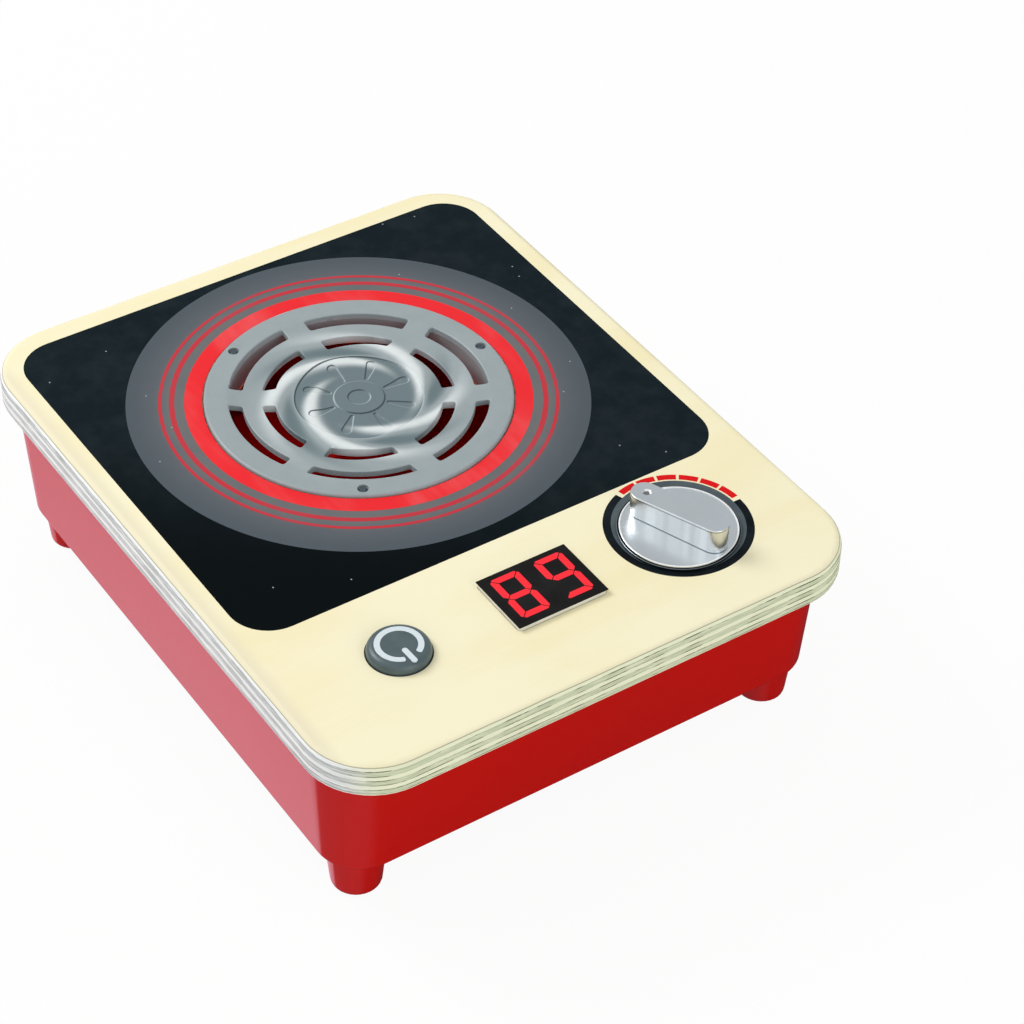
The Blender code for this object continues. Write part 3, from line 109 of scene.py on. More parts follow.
def add_node(tree, kind, inputs, settings):
    """The outputs of a new shader node with its settings, and with plain values or sockets as its inputs."""
    node = tree.nodes.new("ShaderNode" + kind)
    for name, value in settings.items():
        setattr(node, name, value)
    for name, value in inputs.items():
        feed(node.inputs[name], value)
    return node.outputs


def source(material, kind, **settings):
    """The outputs of a node of a material that nothing feeds."""
    return add_node(material.node_tree, kind, {}, settings)


def derived(kind, inputs, **settings):
    """The outputs of a node that stands in the same tree as the sockets that feed it."""
    tree = next(value.id_data for value in inputs.values() if isinstance(value, bpy.types.NodeSocket))
    return add_node(tree, kind, inputs, settings)


def worked(operation, first, second=0.0):
    """The result of a Math node."""
    return derived("Math", {0: first, 1: second}, operation=operation)[0]


def times(*factors):
    """The product of two or more values."""
    product = factors[0]
    for factor in factors[1:]:
        product = worked("MULTIPLY", product, factor)
    return product


def blended(share, first, second):
    """The way from one value to another by a share."""
    return derived("Mix", {0: share, 2: first, 3: second})[0]


def mixed(share, first, second):
    """One colour laid over another by a share."""
    return derived("Mix", {0: share, 6: first, 7: second}, data_type="RGBA")[2]


def place_on(material, centre=(0, 0, 0), stretch=(1, 1, 1), turn=0):
    """Object coordinates measured from a centre, stretched along each axis and turned about Z."""
    coordinates = source(material, "TexCoord")["Object"]
    place = derived("VectorMath", {0: coordinates, 1: centre}, operation="SUBTRACT")[0]
    return derived("Mapping", {"Vector": place, "Rotation": (0, 0, math.radians(turn)), "Scale": stretch})[0]


def part_of(place, axis):
    """One coordinate of a place: 0 for X, 1 for Y and 2 for Z."""
    return derived("SeparateXYZ", {0: place})[axis]


def measured_along(place, direction):
    """How far a place lies along a direction."""
    return derived("VectorMath", {0: place, 1: direction}, operation="DOT_PRODUCT")["Value"]


def from_axis(material, centre):
    """The distance from the upright axis through a centre."""
    return derived("VectorMath", {0: place_on(material, centre, (1, 1, 0))}, operation="LENGTH")["Value"]


def grain(material, size, detail, roughness=0.5, place=None):
    """A noise from 0 to 1 whose lumps are about as wide as the size."""
    place = place or place_on(material)
    inputs = {"Vector": place, "Scale": 1 / size, "Detail": detail, "Roughness": roughness}
    return derived("TexNoise", inputs)["Fac"]


def ranged(value, low, high, first=0.0, last=1.0):
    """The value's way from low to high, eased at both ends and brought to the range from first to last."""
    inputs = {"Value": value, "From Min": low, "From Max": high, "To Min": first, "To Max": last}
    return derived("MapRange", inputs, interpolation_type="SMOOTHSTEP")[0]


def spread(noise, first=0.0, last=1.0):
    """A noise drawn out over the range from first to last."""
    return ranged(noise, NOISE_LOW, NOISE_HIGH, first, last)


def relief(height, depth, under=None):
    """The surface direction on a pattern whose full height is the depth."""
    inputs = {"Height": height, "Distance": depth, "Strength": 1.0}
    if under is not None:
        inputs["Normal"] = under
    return derived("Bump", inputs)[0]


def shader_of(material):
    """The inputs of a material's shader."""
    return material.node_tree.nodes["Principled BSDF"].inputs


def new_material(name, **plain_values):
    """A material whose shader has some plain values."""
    material = bpy.data.materials.new(name)
    material.use_nodes = True
    for socket, value in plain_values.items():
        shader_of(material)[socket.replace("_", " ")].default_value = value
    return material


def coated(material, tone, noise, smoothest, roughest, depth=None, bumps=None):
    """Feeds a material's colour, a roughness that follows a noise, and a relief of that noise or of bumps."""
    shader = shader_of(material)
    feed(shader["Base Color"], tone)
    feed(shader["Roughness"], spread(noise, smoothest, roughest))
    if depth:
        feed(shader["Normal"], relief(bumps or noise, depth))


def dressed(material, *names):
    """Gives CAD nodes their material, and smooth shading between their sharp edges."""
    for name in names:
        node = nodes[name]
        node.data.materials.clear()
        node.data.materials.append(material)
        node.data.shade_smooth()
        node.modifiers.new("Weld", "WELD").merge_threshold = WELD
        node.modifiers.new("Sharp edges", "EDGE_SPLIT").split_angle = math.radians(SHARP_ANGLE)
        node.modifiers.new("Even shading", "WEIGHTED_NORMAL").keep_sharp = True


birch = new_material("birch plywood", Specular_IOR_Level=0.2)
fibre = grain(birch, 0.5 * MM, 4, place=place_on(birch, stretch=(0.05, 1, 1)))
cloud = grain(birch, 26 * MM, 3, place=place_on(birch, stretch=(0.35, 1, 1)))
warmth = ranged(blended(0.2, cloud, fibre), 0.36, 0.68)
face = mixed(warmth, VENEER, VENEER_WARM)
from_corner = place_on(birch, board_low)
from_left = part_of(from_corner, 0)
height = part_of(from_corner, 2)
# Painted shade: the face ply is made darker in a strip along the left edge.
face = mixed(ranged(from_left, 2.5 * MM, 7 * MM, 0.8, 0), face, VENEER_PAINTED_SHADE)

# Painted light: towards the left side the ply edges are whiter and greyer, and their glue lines fainter, as
# if lit from the left.
painted_light_left = ranged(from_left, 2 * MM, LEFT_PAINTED_LIGHT_WIDTH, 1, 0)
long_tone = mixed(painted_light_left, LONG_PLY, LONG_PLY_PAINTED_LIGHT)
cross_tone = mixed(painted_light_left, CROSS_PLY, CROSS_PLY_PAINTED_LIGHT)
waviness = times(grain(birch, 12 * MM, 2), EDGE_WAVE)
level = worked("SUBTRACT", worked("DIVIDE", height, ply), waviness)
level = worked("ADD", level, EDGE_WAVE / 2)
odd = worked("MODULO", worked("FLOOR", level), 2)
streak = grain(birch, 1.1 * MM, 4, 0.6, place_on(birch, stretch=(0.12, 0.12, 3)))
dashes = grain(birch, 2.6 * MM, 3, 0.6, place_on(birch, stretch=(0.3, 0.3, 0.3)))
cross = mixed(ranged(streak, 0.40, 0.74), cross_tone, long_tone)
along = mixed(ranged(streak, 0.26, 0.52), cross_tone, long_tone)
along = mixed(0.6, along, long_tone)
edge = mixed(odd, along, cross)

from_middle = worked("ABSOLUTE", worked("SUBTRACT", worked("FRACT", level), 0.5))
line = ranged(from_middle, 0.5 - GLUE_LINE_SHARE, 0.5 - GLUE_LINE_SHARE / 3)
broken = ranged(dashes, 0.42, 0.60, 0.2, 1.0)
line = times(line, broken, ranged(painted_light_left, 0, 1, 1, 0.6), ranged(level, 0.3, 0.45))
edge = mixed(line, edge, GLUE_LINE)
edge = mixed(ranged(height, 0.02 * MM, 0.06 * MM, 1, 0), edge, face)
face_ply = PLY_COUNT - FACE_PLY_SHARE
below_face = ranged(level, face_ply - FACE_PLY_EASE, face_ply, 1, 0)
tone = mixed(below_face, face, edge)
under_face = worked("ABSOLUTE", worked("SUBTRACT", level, face_ply))
tone = mixed(ranged(under_face, 0.03, 0.10, 0.55, 0), tone, GLUE_LINE)
# Painted shade: a dark ring in the wood round the button's hole stands for the shade in the gap round the
# cap.
gap_shade_to = BUTTON_HOLE + GAP_SHADE_WIDTH
painted_gap_shade = ranged(from_axis(birch, button), gap_shade_to - GAP_SHADE_WIDTH / 2, gap_shade_to, 1, 0)
coated(birch, mixed(painted_gap_shade, tone, GAP_PAINTED_SHADE), fibre, 0.46, 0.58)
raised_streaks = times(worked("SUBTRACT", times(streak, 0.4), line), below_face)
feed(shader_of(birch)["Normal"], relief(raised_streaks, PLY_DEPTH, relief(fibre, FIBRE_DEPTH)))
dressed(birch, "top_board")


# Printed hob
# A black panel with a slate-grey disc, a red band and two thin red rings is screen printed on the board,
# round the hole of the grille. The ink is thin and dull, and it holds a few light specks of dust.

INK = 0.03 * MM
PANEL_HALF_WIDTH = 82.7 * MM
PANEL_DEPTH = 151.4 * MM
PANEL_MIDDLE_X = 0.3 * MM
PANEL_MIDDLE_Y = 27.1 * MM
PANEL_CORNER = 13 * MM
DISC_RADIUS = 71.5 * MM
BAND_OUTER = 53.7 * MM
RING_RADII = (57.5 * MM, 61.1 * MM)
RING_WIDTHS = (1.6 * MM, 1.1 * MM)
LIP_SHADE = 0.5 * MM
HOLE_CLEARANCE = 0.3 * MM
BRUSH_TURN = 35
INK_GRAIN = 0.6 * MM
ROUND_STEPS = 180
CORNER_STEPS = 14

PANEL_BLACK = screen(16, 28, 33)
PANEL_WORN = screen(27, 37, 42)
PANEL_PAINTED_SHADE = screen(2, 9, 12)
DUST = screen(170, 180, 184)
DUST_SPACING = 11 * MM
DUST_SHARE = 0.16
DUST_RADIUS = 0.3 * MM
PANEL_SHADE_TURN = (0.8, 1, 0)
PANEL_SHADE_FROM = -80 * MM
PANEL_SHADE_TO = 5 * MM
DISC_NEAR = screen(110, 110, 111)
DISC_MIDDLE = screen(92, 98, 104)
DISC_FAR = screen(80, 89, 96)
BAND_RED = screen(238, 34, 42)
BAND_RED_PALE = screen(238, 84, 88)
RING_RED = screen(196, 48, 60)
RING_RED_PALE = screen(180, 66, 76)

grille_low, grille_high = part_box("burner_grille")
burner = middle(grille_low, grille_high, board_top)
grille_radius = (grille_high.x - grille_low.x) / 2
hole_radius = grille_radius + HOLE_CLEARANCE


def moved(shape, place, turn=0):
    """The shape turned about Z by an angle in degrees, and then moved."""
    matrix = Matrix.Translation(place) @ Matrix.Rotation(math.radians(turn), 4, "Z")
    bmesh.ops.transform(shape, matrix=matrix, verts=shape.verts)
    return shape


def spun(shape, sweep, steps):
    """An outline carried round the Z axis through an angle in degrees, and joined up where it meets."""
    bmesh.ops.spin(
        shape,
        geom=shape.verts[:] + shape.edges[:] + shape.faces[:],
        cent=(0, 0, 0),
        axis=(0, 0, 1),
        angle=math.radians(sweep),
        steps=steps,
        use_merge=sweep == 360,
    )
    bmesh.ops.remove_doubles(shape, verts=shape.verts, dist=WELD)


def rectangle(inner, outer, low, high):
    """A section with four corners, between two radii and two heights."""
    return [(inner, low), (outer, low), (outer, high), (inner, high)]


def swept(section, centre, start=0, sweep=360, steps=ROUND_STEPS):
    """A closed section of (radius, height) points, carried round a centre through an angle in degrees."""
    shape = bmesh.new()
    face = shape.faces.new([shape.verts.new((radius, 0, height)) for radius, height in section])
    if sweep == 360:
        bmesh.ops.delete(shape, geom=[face], context="FACES_ONLY")
    spun(shape, sweep, steps)
    on_axis = [edge for edge in shape.edges if not edge.link_faces]
    bmesh.ops.delete(shape, geom=on_axis, context="EDGES")
    return moved(shape, centre, start)


def bevelled(shape, chosen, size, segments, affect="EDGES"):
    """The shape with the chosen edges, or the chosen corners of a flat outline, rounded in some steps."""
    bmesh.ops.bevel(
        shape, geom=chosen, offset=size, segments=segments, profile=0.5, affect=affect, material=-1
    )
    return shape


def plate(half_x, half_y, corner, bottom, top, steps=CORNER_STEPS):
    """A flat plate about the Z axis, with upright corners rounded in a number of steps."""
    shape = bmesh.new()
    bmesh.ops.create_grid(shape, x_segments=1, y_segments=1, size=1)
    bmesh.ops.scale(shape, vec=(half_x, half_y, 1), verts=shape.verts)
    bevelled(shape, shape.verts[:], corner, steps, "VERTICES")
    return raised(shape, bottom, top)


def raised(shape, bottom, top):
    """A flat shape lifted to its bottom and extruded up to its top."""
    bmesh.ops.translate(shape, vec=(0, 0, bottom), verts=shape.verts)
    grown = bmesh.ops.extrude_face_region(shape, geom=shape.faces[:])["geom"]
    lifted = [item for item in grown if isinstance(item, bmesh.types.BMVert)]
    bmesh.ops.translate(shape, vec=(0, 0, top - bottom), verts=lifted)
    return shape


def gathered(*shapes):
    """Several shapes in one."""
    whole = bmesh.new()
    for shape in shapes:
        mesh = bpy.data.meshes.new("gathered")
        shape.to_mesh(mesh)
        shape.free()
        whole.from_mesh(mesh)
        bpy.data.meshes.remove(mesh)
    return whole


def cut(shape, *cutters):
    """The shape with one cutter after another taken away from it."""
    blank = linked("blank", shape)
    tools = [linked("cutter", cutter) for cutter in cutters]
    for tool in tools:
        modifier = blank.modifiers.new("Cut", "BOOLEAN")
        modifier.operation = "DIFFERENCE"
        modifier.solver = "EXACT"
        modifier.object = tool
    bpy.context.view_layer.update()
    result = bmesh.new()
    result.from_object(blank, bpy.context.evaluated_depsgraph_get())
    for item in (blank, *tools):
        bpy.data.objects.remove(item)
    return result


def linked(name, shape):
    """An object of the scene made from a shape, with all faces pointing outwards."""
    bmesh.ops.recalc_face_normals(shape, faces=shape.faces)
    mesh = bpy.data.meshes.new(name)
    shape.to_mesh(mesh)
    shape.free()
    made = bpy.data.objects.new(name, mesh)
    bpy.context.scene.collection.objects.link(made)
    return made


def finished(name, shape, body, material):
    """A piece that rides on its body, smooth between its sharp edges, with its finish."""
    bmesh.ops.remove_doubles(shape, verts=shape.verts, dist=WELD)
    piece = linked(name, shape)
    piece.data.materials.append(material)
    piece.data.shade_smooth()
    piece.data.set_sharp_from_angle(angle=math.radians(SHARP_ANGLE))
    piece.modifiers.new("Even shading", "WEIGHTED_NORMAL").keep_sharp = True
    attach(piece, body)
    return piece


def ink_ring(inner, outer, layer, centre, start=0, sweep=360, steps=ROUND_STEPS):
    """A printed ring or arc, whose layer says how many coats of ink high it stands."""
    return swept(rectangle(inner, outer, -INK / 2, layer * INK), centre, start, sweep, steps)


def dusted(ink, tone):
    """The tone with a few tiny light specks of dust on it."""
    inputs = {"Vector": place_on(ink), "Scale": 1 / DUST_SPACING}
    cells = derived("TexVoronoi", inputs, voronoi_dimensions="2D")
    chosen = derived("SeparateColor", {0: cells["Color"]})[0]
    few = worked("GREATER_THAN", chosen, 1 - DUST_SHARE)
    small = ranged(times(cells["Distance"], DUST_SPACING), DUST_RADIUS / 2, DUST_RADIUS, 1, 0)
    return mixed(times(few, small), tone, DUST)


def speckled_ink(name, colour, worn, near=None):
    """A dull ink with faint clouds in its colour. With a near colour too, it gets a painted shade that
    darkens it towards the front, and a few specks of dust.
    """
    ink = new_material(name, Specular_IOR_Level=0.04)
    tone = mixed(ranged(grain(ink, 9 * MM, 5, 0.6), 0.35, 0.7), colour, worn)
    if near:
        # Painted shade: the ink darkens towards the front.
        depth = measured_along(place_on(ink), PANEL_SHADE_TURN)
        tone = dusted(ink, mixed(ranged(depth, PANEL_SHADE_FROM, PANEL_SHADE_TO), near, tone))
    coated(ink, tone, grain(ink, INK_GRAIN, 2), 0.42, 0.56, 0.004 * MM)
    return ink


panel_middle = Vector((PANEL_MIDDLE_X, PANEL_MIDDLE_Y, board_top))
panel = moved(plate(PANEL_HALF_WIDTH, PANEL_DEPTH / 2, PANEL_CORNER, -INK / 2, INK), panel_middle)
hole = swept(rectangle(0, hole_radius, -MM, MM), burner)
panel_ink = speckled_ink("panel ink", PANEL_BLACK, PANEL_WORN, PANEL_PAINTED_SHADE)
finished("hob_panel", cut(panel, hole), "housing", panel_ink)

disc_ink = new_material("slate disc ink", Specular_IOR_Level=0.12)
out = from_axis(disc_ink, burner)
near_ring, far_ring = RING_RADII
tone = mixed(ranged(out, near_ring, far_ring + 3 * MM), DISC_NEAR, DISC_MIDDLE)
tone = mixed(ranged(out, far_ring, DISC_RADIUS), tone, DISC_FAR)
clouds = ranged(grain(disc_ink, 14 * MM, 4, 0.6), 0.3, 0.75, 0, 0.25)
tone = dusted(disc_ink, mixed(clouds, tone, DISC_FAR))
coated(disc_ink, tone, grain(disc_ink, INK_GRAIN, 2), 0.40, 0.52, 0.003 * MM)
finished("hob_disc", ink_ring(hole_radius, DISC_RADIUS, 2, burner), "housing", disc_ink)


def brushed_ink(name, colour, pale_colour):
    """A red ink, laid on with faint long brush marks, and with a painted shadow where it meets the grille's
    lip.
    """
    ink = new_material(name, Specular_IOR_Level=0.2)
    swish = grain(ink, 24 * MM, 3, 0.55, place_on(ink, burner, (1, 0.4, 1), BRUSH_TURN))
    brushed = grain(ink, 2.2 * MM, 3, place=place_on(ink, burner, (1, 0.12, 1), BRUSH_TURN))
    tone = mixed(ranged(blended(0.12, swish, brushed), 0.44, 0.72), colour, pale_colour)
    # Painted shadow: a dark ring where the grille's lip meets the ink.
    lip = grille_radius + LIP_SHADE
    in_shade = ranged(from_axis(ink, burner), lip - LIP_SHADE / 2, lip, 0.85, 0)
    coated(ink, mixed(in_shade, tone, PANEL_PAINTED_SHADE), brushed, 0.38, 0.5, 0.002 * MM)
    return ink


band_ink = brushed_ink("red band ink", BAND_RED, BAND_RED_PALE)
finished("hob_red_band", ink_ring(hole_radius, BAND_OUTER, 3, burner), "housing", band_ink)
ring_ink = brushed_ink("red ring ink", RING_RED, RING_RED_PALE)
thin_rings = []
for radius, width in zip(RING_RADII, RING_WIDTHS):
    thin_rings.append(ink_ring(radius - width / 2, radius + width / 2, 3, burner))
finished("hob_red_rings", gathered(*thin_rings), "housing", ring_ink)


# Burner grille
# One moulding in grey plastic: a round lip, a dished plate with two rings of slots, four broad swirling arms,
# and a lowered hub with a ring of petals round a boss. It drops into the board's hole, and three screws in
# the lip hold it.

HUB_RADIUS = 20.1 * MM
HUB_STEP = 0.28 * MM
BOSS_RADIUS = 7.9 * MM
BOSS_HEIGHT = 0.28 * MM
DIMPLE_RADIUS = 3.7 * MM
DIMPLE_DEPTH = 0.22 * MM
PLATE_THICKNESS = 2 * MM
LIP_HEIGHT = 1 * MM
LIP_THICKNESS = 2.2 * MM
LIP_ROUNDING = 0.8 * MM
SKIRT_INNER = 40.6 * MM
SKIRT_OUTER = 41.6 * MM
SKIRT_DEPTH = 9 * MM
DISH_DEPTH = 1.3 * MM
DISH_POWER = 4
LAMP_BOSS_RADIUS = 3.5 * MM
LAMP_BOSS_LENGTH = 4 * MM
SLOT_RINGS = ((25.9 * MM, 29.9 * MM), (36.0 * MM, 40.3 * MM))
SLOT_CORNER = 0.8 * MM
SLOT_EDGE = 0.35 * MM
RIB_WIDTH = 7.9 * MM
RIB_ANGLES = (30, 90, 150)
PETAL_COUNT = 8
PETAL_INNER = 9.4 * MM
PETAL_OUTER = 16.2 * MM
PETAL_INNER_RADIUS = 0.3 * MM
PETAL_OUTER_RADIUS = 1.35 * MM
PETAL_DEPTH = 0.22 * MM
PETAL_SLOPE = 0.4 * MM
PETAL_END_STEPS = 8
STEP_SLOPE = 0.45 * MM
LIGHT_TO = Vector((-0.18, 0.98, 0))
SCREW_COUNT = 3
SCREW_CIRCLE = 44.65 * MM
SCREW_HOLE = 1.75 * MM
SCREW_SINK = 0.9 * MM
GRILLE_STEPS = 144
FLAT_ANGLE = 0.5
SQUARE_ANGLE = 60
SLICE = 1 * MM
FACING_UP = 0.05
ARM_RADIUS = 21.6 * MM
ARMS = (
    {"angle": 7, "turn": 190, "start": 15.5 * MM},
    {"angle": 108, "turn": 190, "start": 13.0 * MM},
    {"angle": 212, "turn": 145, "start": 10.0 * MM},
    {"angle": 288, "turn": 118, "start": 12.5 * MM},
)
ARM_RISE = 4.5 * MM
ARM_FULL_TO = 23 * MM
ARM_FADED_BY = 37 * MM
ARM_FAINT_SHARE = 0.2
ARM_HALF_WIDTH = 2.5 * MM
ARM_WIDENING_SHARE = 0.12
ARM_HEIGHT = 0.8 * MM
VALLEY_SHIFT = 6.5 * MM
VALLEY_HALF_WIDTH = 3 * MM
VALLEY_SHARE = 0.4

GRILLE_GREY = screen(154, 165, 168)
GRILLE_PAINTED_HIGHLIGHT = screen(226, 232, 232)
GRILLE_MOTTLE_AND_PAINTED_SHADE = screen(98, 116, 120)
HUB_SLATE = screen(104, 121, 126)
GRILLE_PAINTED_EDGE_HIGHLIGHT = screen(196, 205, 209)
RELIEF_PAINTED_LIGHT = screen(176, 190, 194)
RELIEF_PAINTED_SHADE = screen(44, 60, 66)
STEEPEST_STEP = 0.3
FLATTEST_STEP = 0.97


def eased(value, low, high):
    """The value's way from low to high as a smooth share from 0 to 1."""
    share = min(max((value - low) / (high - low), 0), 1)
    return share * share * (3 - 2 * share)


def arms_at(x, y):
    """How far a point lies across each swirling arm, and the arm's strength and half width there."""
    radius = max(math.hypot(x, y), MM)
    angle = math.degrees(math.atan2(y, x))
    half_width = ARM_HALF_WIDTH + ARM_WIDENING_SHARE * max(radius - ARM_RADIUS, 0)
    fade = 1 - (1 - ARM_FAINT_SHARE) * eased(radius, ARM_FULL_TO, ARM_FADED_BY)
    fade *= 1 - eased(radius, ARM_FADED_BY, grille_radius)
    for arm in ARMS:
        beyond = (angle - arm["angle"] - arm["turn"] * math.log(radius / ARM_RADIUS) + 180) % 360 - 180
        pitch = math.atan(1 / math.radians(arm["turn"]))
        across = math.radians(beyond) * radius * math.sin(pitch)
        yield across, fade * eased(radius, arm["start"], arm["start"] + ARM_RISE), half_width


def crest_at(x, y):
    """From 0 to 1, how near a point is to the crest of an arm."""
    heights = [strength * math.exp(-((across / width) ** 2)) for across, strength, width in arms_at(x, y)]
    return min(sum(heights), 1)


def valley_at(x, y):
    """From 0 to 1, how deep a point lies in the hollow that follows an arm."""
    outside_hub = eased(math.hypot(x, y), HUB_RADIUS - MM, HUB_RADIUS + 2 * MM)
    depths = [
        strength * math.exp(-(((across - VALLEY_SHIFT) / VALLEY_HALF_WIDTH) ** 2))
        for across, strength, width in arms_at(x, y)
    ]
    return min(sum(depths), 1) * outside_hub


def plate_height(radius):
    """How far the dished plate's flat blank is lifted at a radius, once it is formed."""
    share = min(max((radius - HUB_RADIUS) / (SKIRT_INNER - HUB_RADIUS), 0), 1)
    return LIP_HEIGHT - DISH_DEPTH * (1 - share**DISH_POWER)


def flat_blank():
    """The grille turned with a flat plate, its top at height zero."""
    hub = -HUB_STEP
    boss = hub + BOSS_HEIGHT
    under_hub = -HUB_STEP - PLATE_THICKNESS
    profile = [
        (0, boss - DIMPLE_DEPTH),
        (DIMPLE_RADIUS - STEP_SLOPE, boss - DIMPLE_DEPTH),
        (DIMPLE_RADIUS, boss),
        (BOSS_RADIUS - STEP_SLOPE / 2, boss),
        (BOSS_RADIUS + STEP_SLOPE / 2, hub),
        (HUB_RADIUS - STEP_SLOPE, hub),
        (HUB_RADIUS, 0),
        (grille_radius, 0),
        (grille_radius, -LIP_THICKNESS),
        (SKIRT_OUTER, -LIP_THICKNESS),
        (SKIRT_OUTER, -SKIRT_DEPTH - LIP_HEIGHT),
        (SKIRT_INNER, -SKIRT_DEPTH - LIP_HEIGHT),
        (SKIRT_INNER, -PLATE_THICKNESS),
        (HUB_RADIUS, under_hub),
        (LAMP_BOSS_RADIUS, under_hub),
        (LAMP_BOSS_RADIUS, under_hub - LAMP_BOSS_LENGTH),
        (0, under_hub - LAMP_BOSS_LENGTH),
    ]
    shape = bmesh.new()
    points = [shape.verts.new((radius, 0, height)) for radius, height in profile]
    for pair in zip(points, points[1:]):
        shape.edges.new(pair)
    spun(shape, 360, GRILLE_STEPS)
    bmesh.ops.dissolve_limit(
        shape, angle_limit=math.radians(FLAT_ANGLE), verts=shape.verts, edges=shape.edges
    )
    return shape


def upright_edges(shape, sharper_than):
    """The upright edges of a shape that turn by more than an angle in degrees."""
    return [
        edge
        for edge in shape.edges
        if (edge.verts[0].co.xy - edge.verts[1].co.xy).length < WELD
        and edge.calc_face_angle(0) > math.radians(sharper_than)
    ]


def slots(inner, outer):
    """Six slots: a ring that three ribs cross, with the corners rounded."""
    low = -PLATE_THICKNESS * 2
    ring = swept(rectangle(inner, outer, low, MM), (0, 0, 0), steps=GRILLE_STEPS)
    ribs = [
        moved(plate(grille_radius, RIB_WIDTH / 2, SLOT_CORNER, low - MM, 2 * MM, 1), (0, 0, 0), angle)
        for angle in RIB_ANGLES
    ]
    shape = cut(ring, *ribs)
    return bevelled(shape, upright_edges(shape, SHARP_ANGLE), SLOT_CORNER, 5)


def petal_outline(growth, height):
    """A petal's outline, with a small round end at the boss and a larger one outside, grown all round."""
    tilt = math.asin((PETAL_OUTER_RADIUS - PETAL_INNER_RADIUS) / (PETAL_OUTER - PETAL_INNER))
    half_turn = math.pi / 2 + tilt
    ends = (
        (PETAL_OUTER, PETAL_OUTER_RADIUS + growth, -half_turn, half_turn),
        (PETAL_INNER, PETAL_INNER_RADIUS + growth, half_turn, math.tau - half_turn),
    )
    points = []
    for centre, radius, first, last in ends:
        for step in range(PETAL_END_STEPS + 1):
            turn = first + (last - first) * step / PETAL_END_STEPS
            points.append((centre + radius * math.cos(turn), radius * math.sin(turn), height))
    return points


def petal(angle):
    """The cutter of one petal, which widens upwards so that the petal gets sloping sides."""
    floor = -HUB_STEP - PETAL_DEPTH
    widening = PETAL_SLOPE / PETAL_DEPTH * -2 * floor
    shape = bmesh.new()
    lower = [shape.verts.new(point) for point in petal_outline(0, floor)]
    upper = [shape.verts.new(point) for point in petal_outline(widening, -floor)]
    shape.faces.new(lower)
    shape.faces.new(upper)
    for first, second in zip(range(len(lower)), [*range(1, len(lower)), 0]):
        shape.faces.new((lower[first], lower[second], upper[second], upper[first]))
    return moved(shape, (0, 0, 0), angle)


def softened(shape, size, segments, chosen):
    """The shape with the edges that a test picks rounded over."""
    edges = [edge for edge in shape.edges if len(edge.link_faces) == 2 and chosen(edge)]
    return bevelled(shape, edges, size, segments)


def is_level(edge, height):
    """Whether an edge lies level at a height."""
    return all(abs(vert.co.z - height) < WELD for vert in edge.verts)


def is_rim(edge, height, nearest=0, furthest=1):
    """Whether a square edge lies level at a height, between two distances from the middle."""
    near = all(nearest < vert.co.xy.length < furthest for vert in edge.verts)
    return is_level(edge, height) and near and edge.calc_face_angle(0) > math.radians(SQUARE_ANGLE)


def sliced(shape, reach):
    """The shape with its upper faces cut into small squares, so that they can be formed."""
    count = int(reach / SLICE)
    for direction in ((1, 0, 0), (0, 1, 0)):
        for step in range(-count, count + 1):
            upper = [face for face in shape.faces if face.normal.z > FACING_UP]
            geometry = dict.fromkeys(upper)
            for face in upper:
                geometry.update(dict.fromkeys(face.edges))
                geometry.update(dict.fromkeys(face.verts))
            point = Vector(direction) * step * SLICE
            bmesh.ops.bisect_plane(shape, geom=list(geometry), dist=WELD, plane_co=point, plane_no=direction)
    return shape


screw_holes = []
for index in range(SCREW_COUNT):
    angle = math.tau * index / SCREW_COUNT
    place = (SCREW_CIRCLE * math.cos(angle), SCREW_CIRCLE * math.sin(angle), 0)
    screw_holes.append(swept(rectangle(0, SCREW_HOLE, -SCREW_SINK, MM), place, steps=24))
petals = [petal(360 * index / PETAL_COUNT) for index in range(PETAL_COUNT)]
grille = cut(flat_blank(), gathered(*[slots(*ring) for ring in SLOT_RINGS]), gathered(*petals, *screw_holes))
bmesh.ops.remove_doubles(grille, verts=grille.verts, dist=WELD)
# Painted light and shade: each sloping face of the hub stores how far it faces a light from the back, and the
# material lightens or darkens its colour by it.
facing = grille.faces.layers.float.new("facing")
for side in grille.faces:
    side.normal_update()
    in_hub = side.calc_center_median().xy.length < HUB_RADIUS
    sloping = STEEPEST_STEP < side.normal.z < FLATTEST_STEP
    side[facing] = 0.5 + (side.normal.dot(LIGHT_TO) / 2 if sloping and in_hub else 0)
slot_zone = (SLOT_RINGS[0][0] - SLOT_CORNER, SKIRT_INNER)
softened(grille, SLOT_EDGE, 3, lambda edge: is_rim(edge, 0, *slot_zone))
softened(grille, LIP_ROUNDING, 5, lambda edge: is_rim(edge, 0, grille_radius - WELD, grille_radius + MM))
sliced(grille, SKIRT_OUTER)
for vert in grille.verts:
    x, y, z = vert.co
    vert.co.z += plate_height(vert.co.xy.length)
    if z > -PLATE_THICKNESS / 2:
        vert.co.z += ARM_HEIGHT * (crest_at(x, y) - VALLEY_SHARE * valley_at(x, y))
moved(grille, burner)

grey = new_material("grey grille plastic", Specular_IOR_Level=0.45)
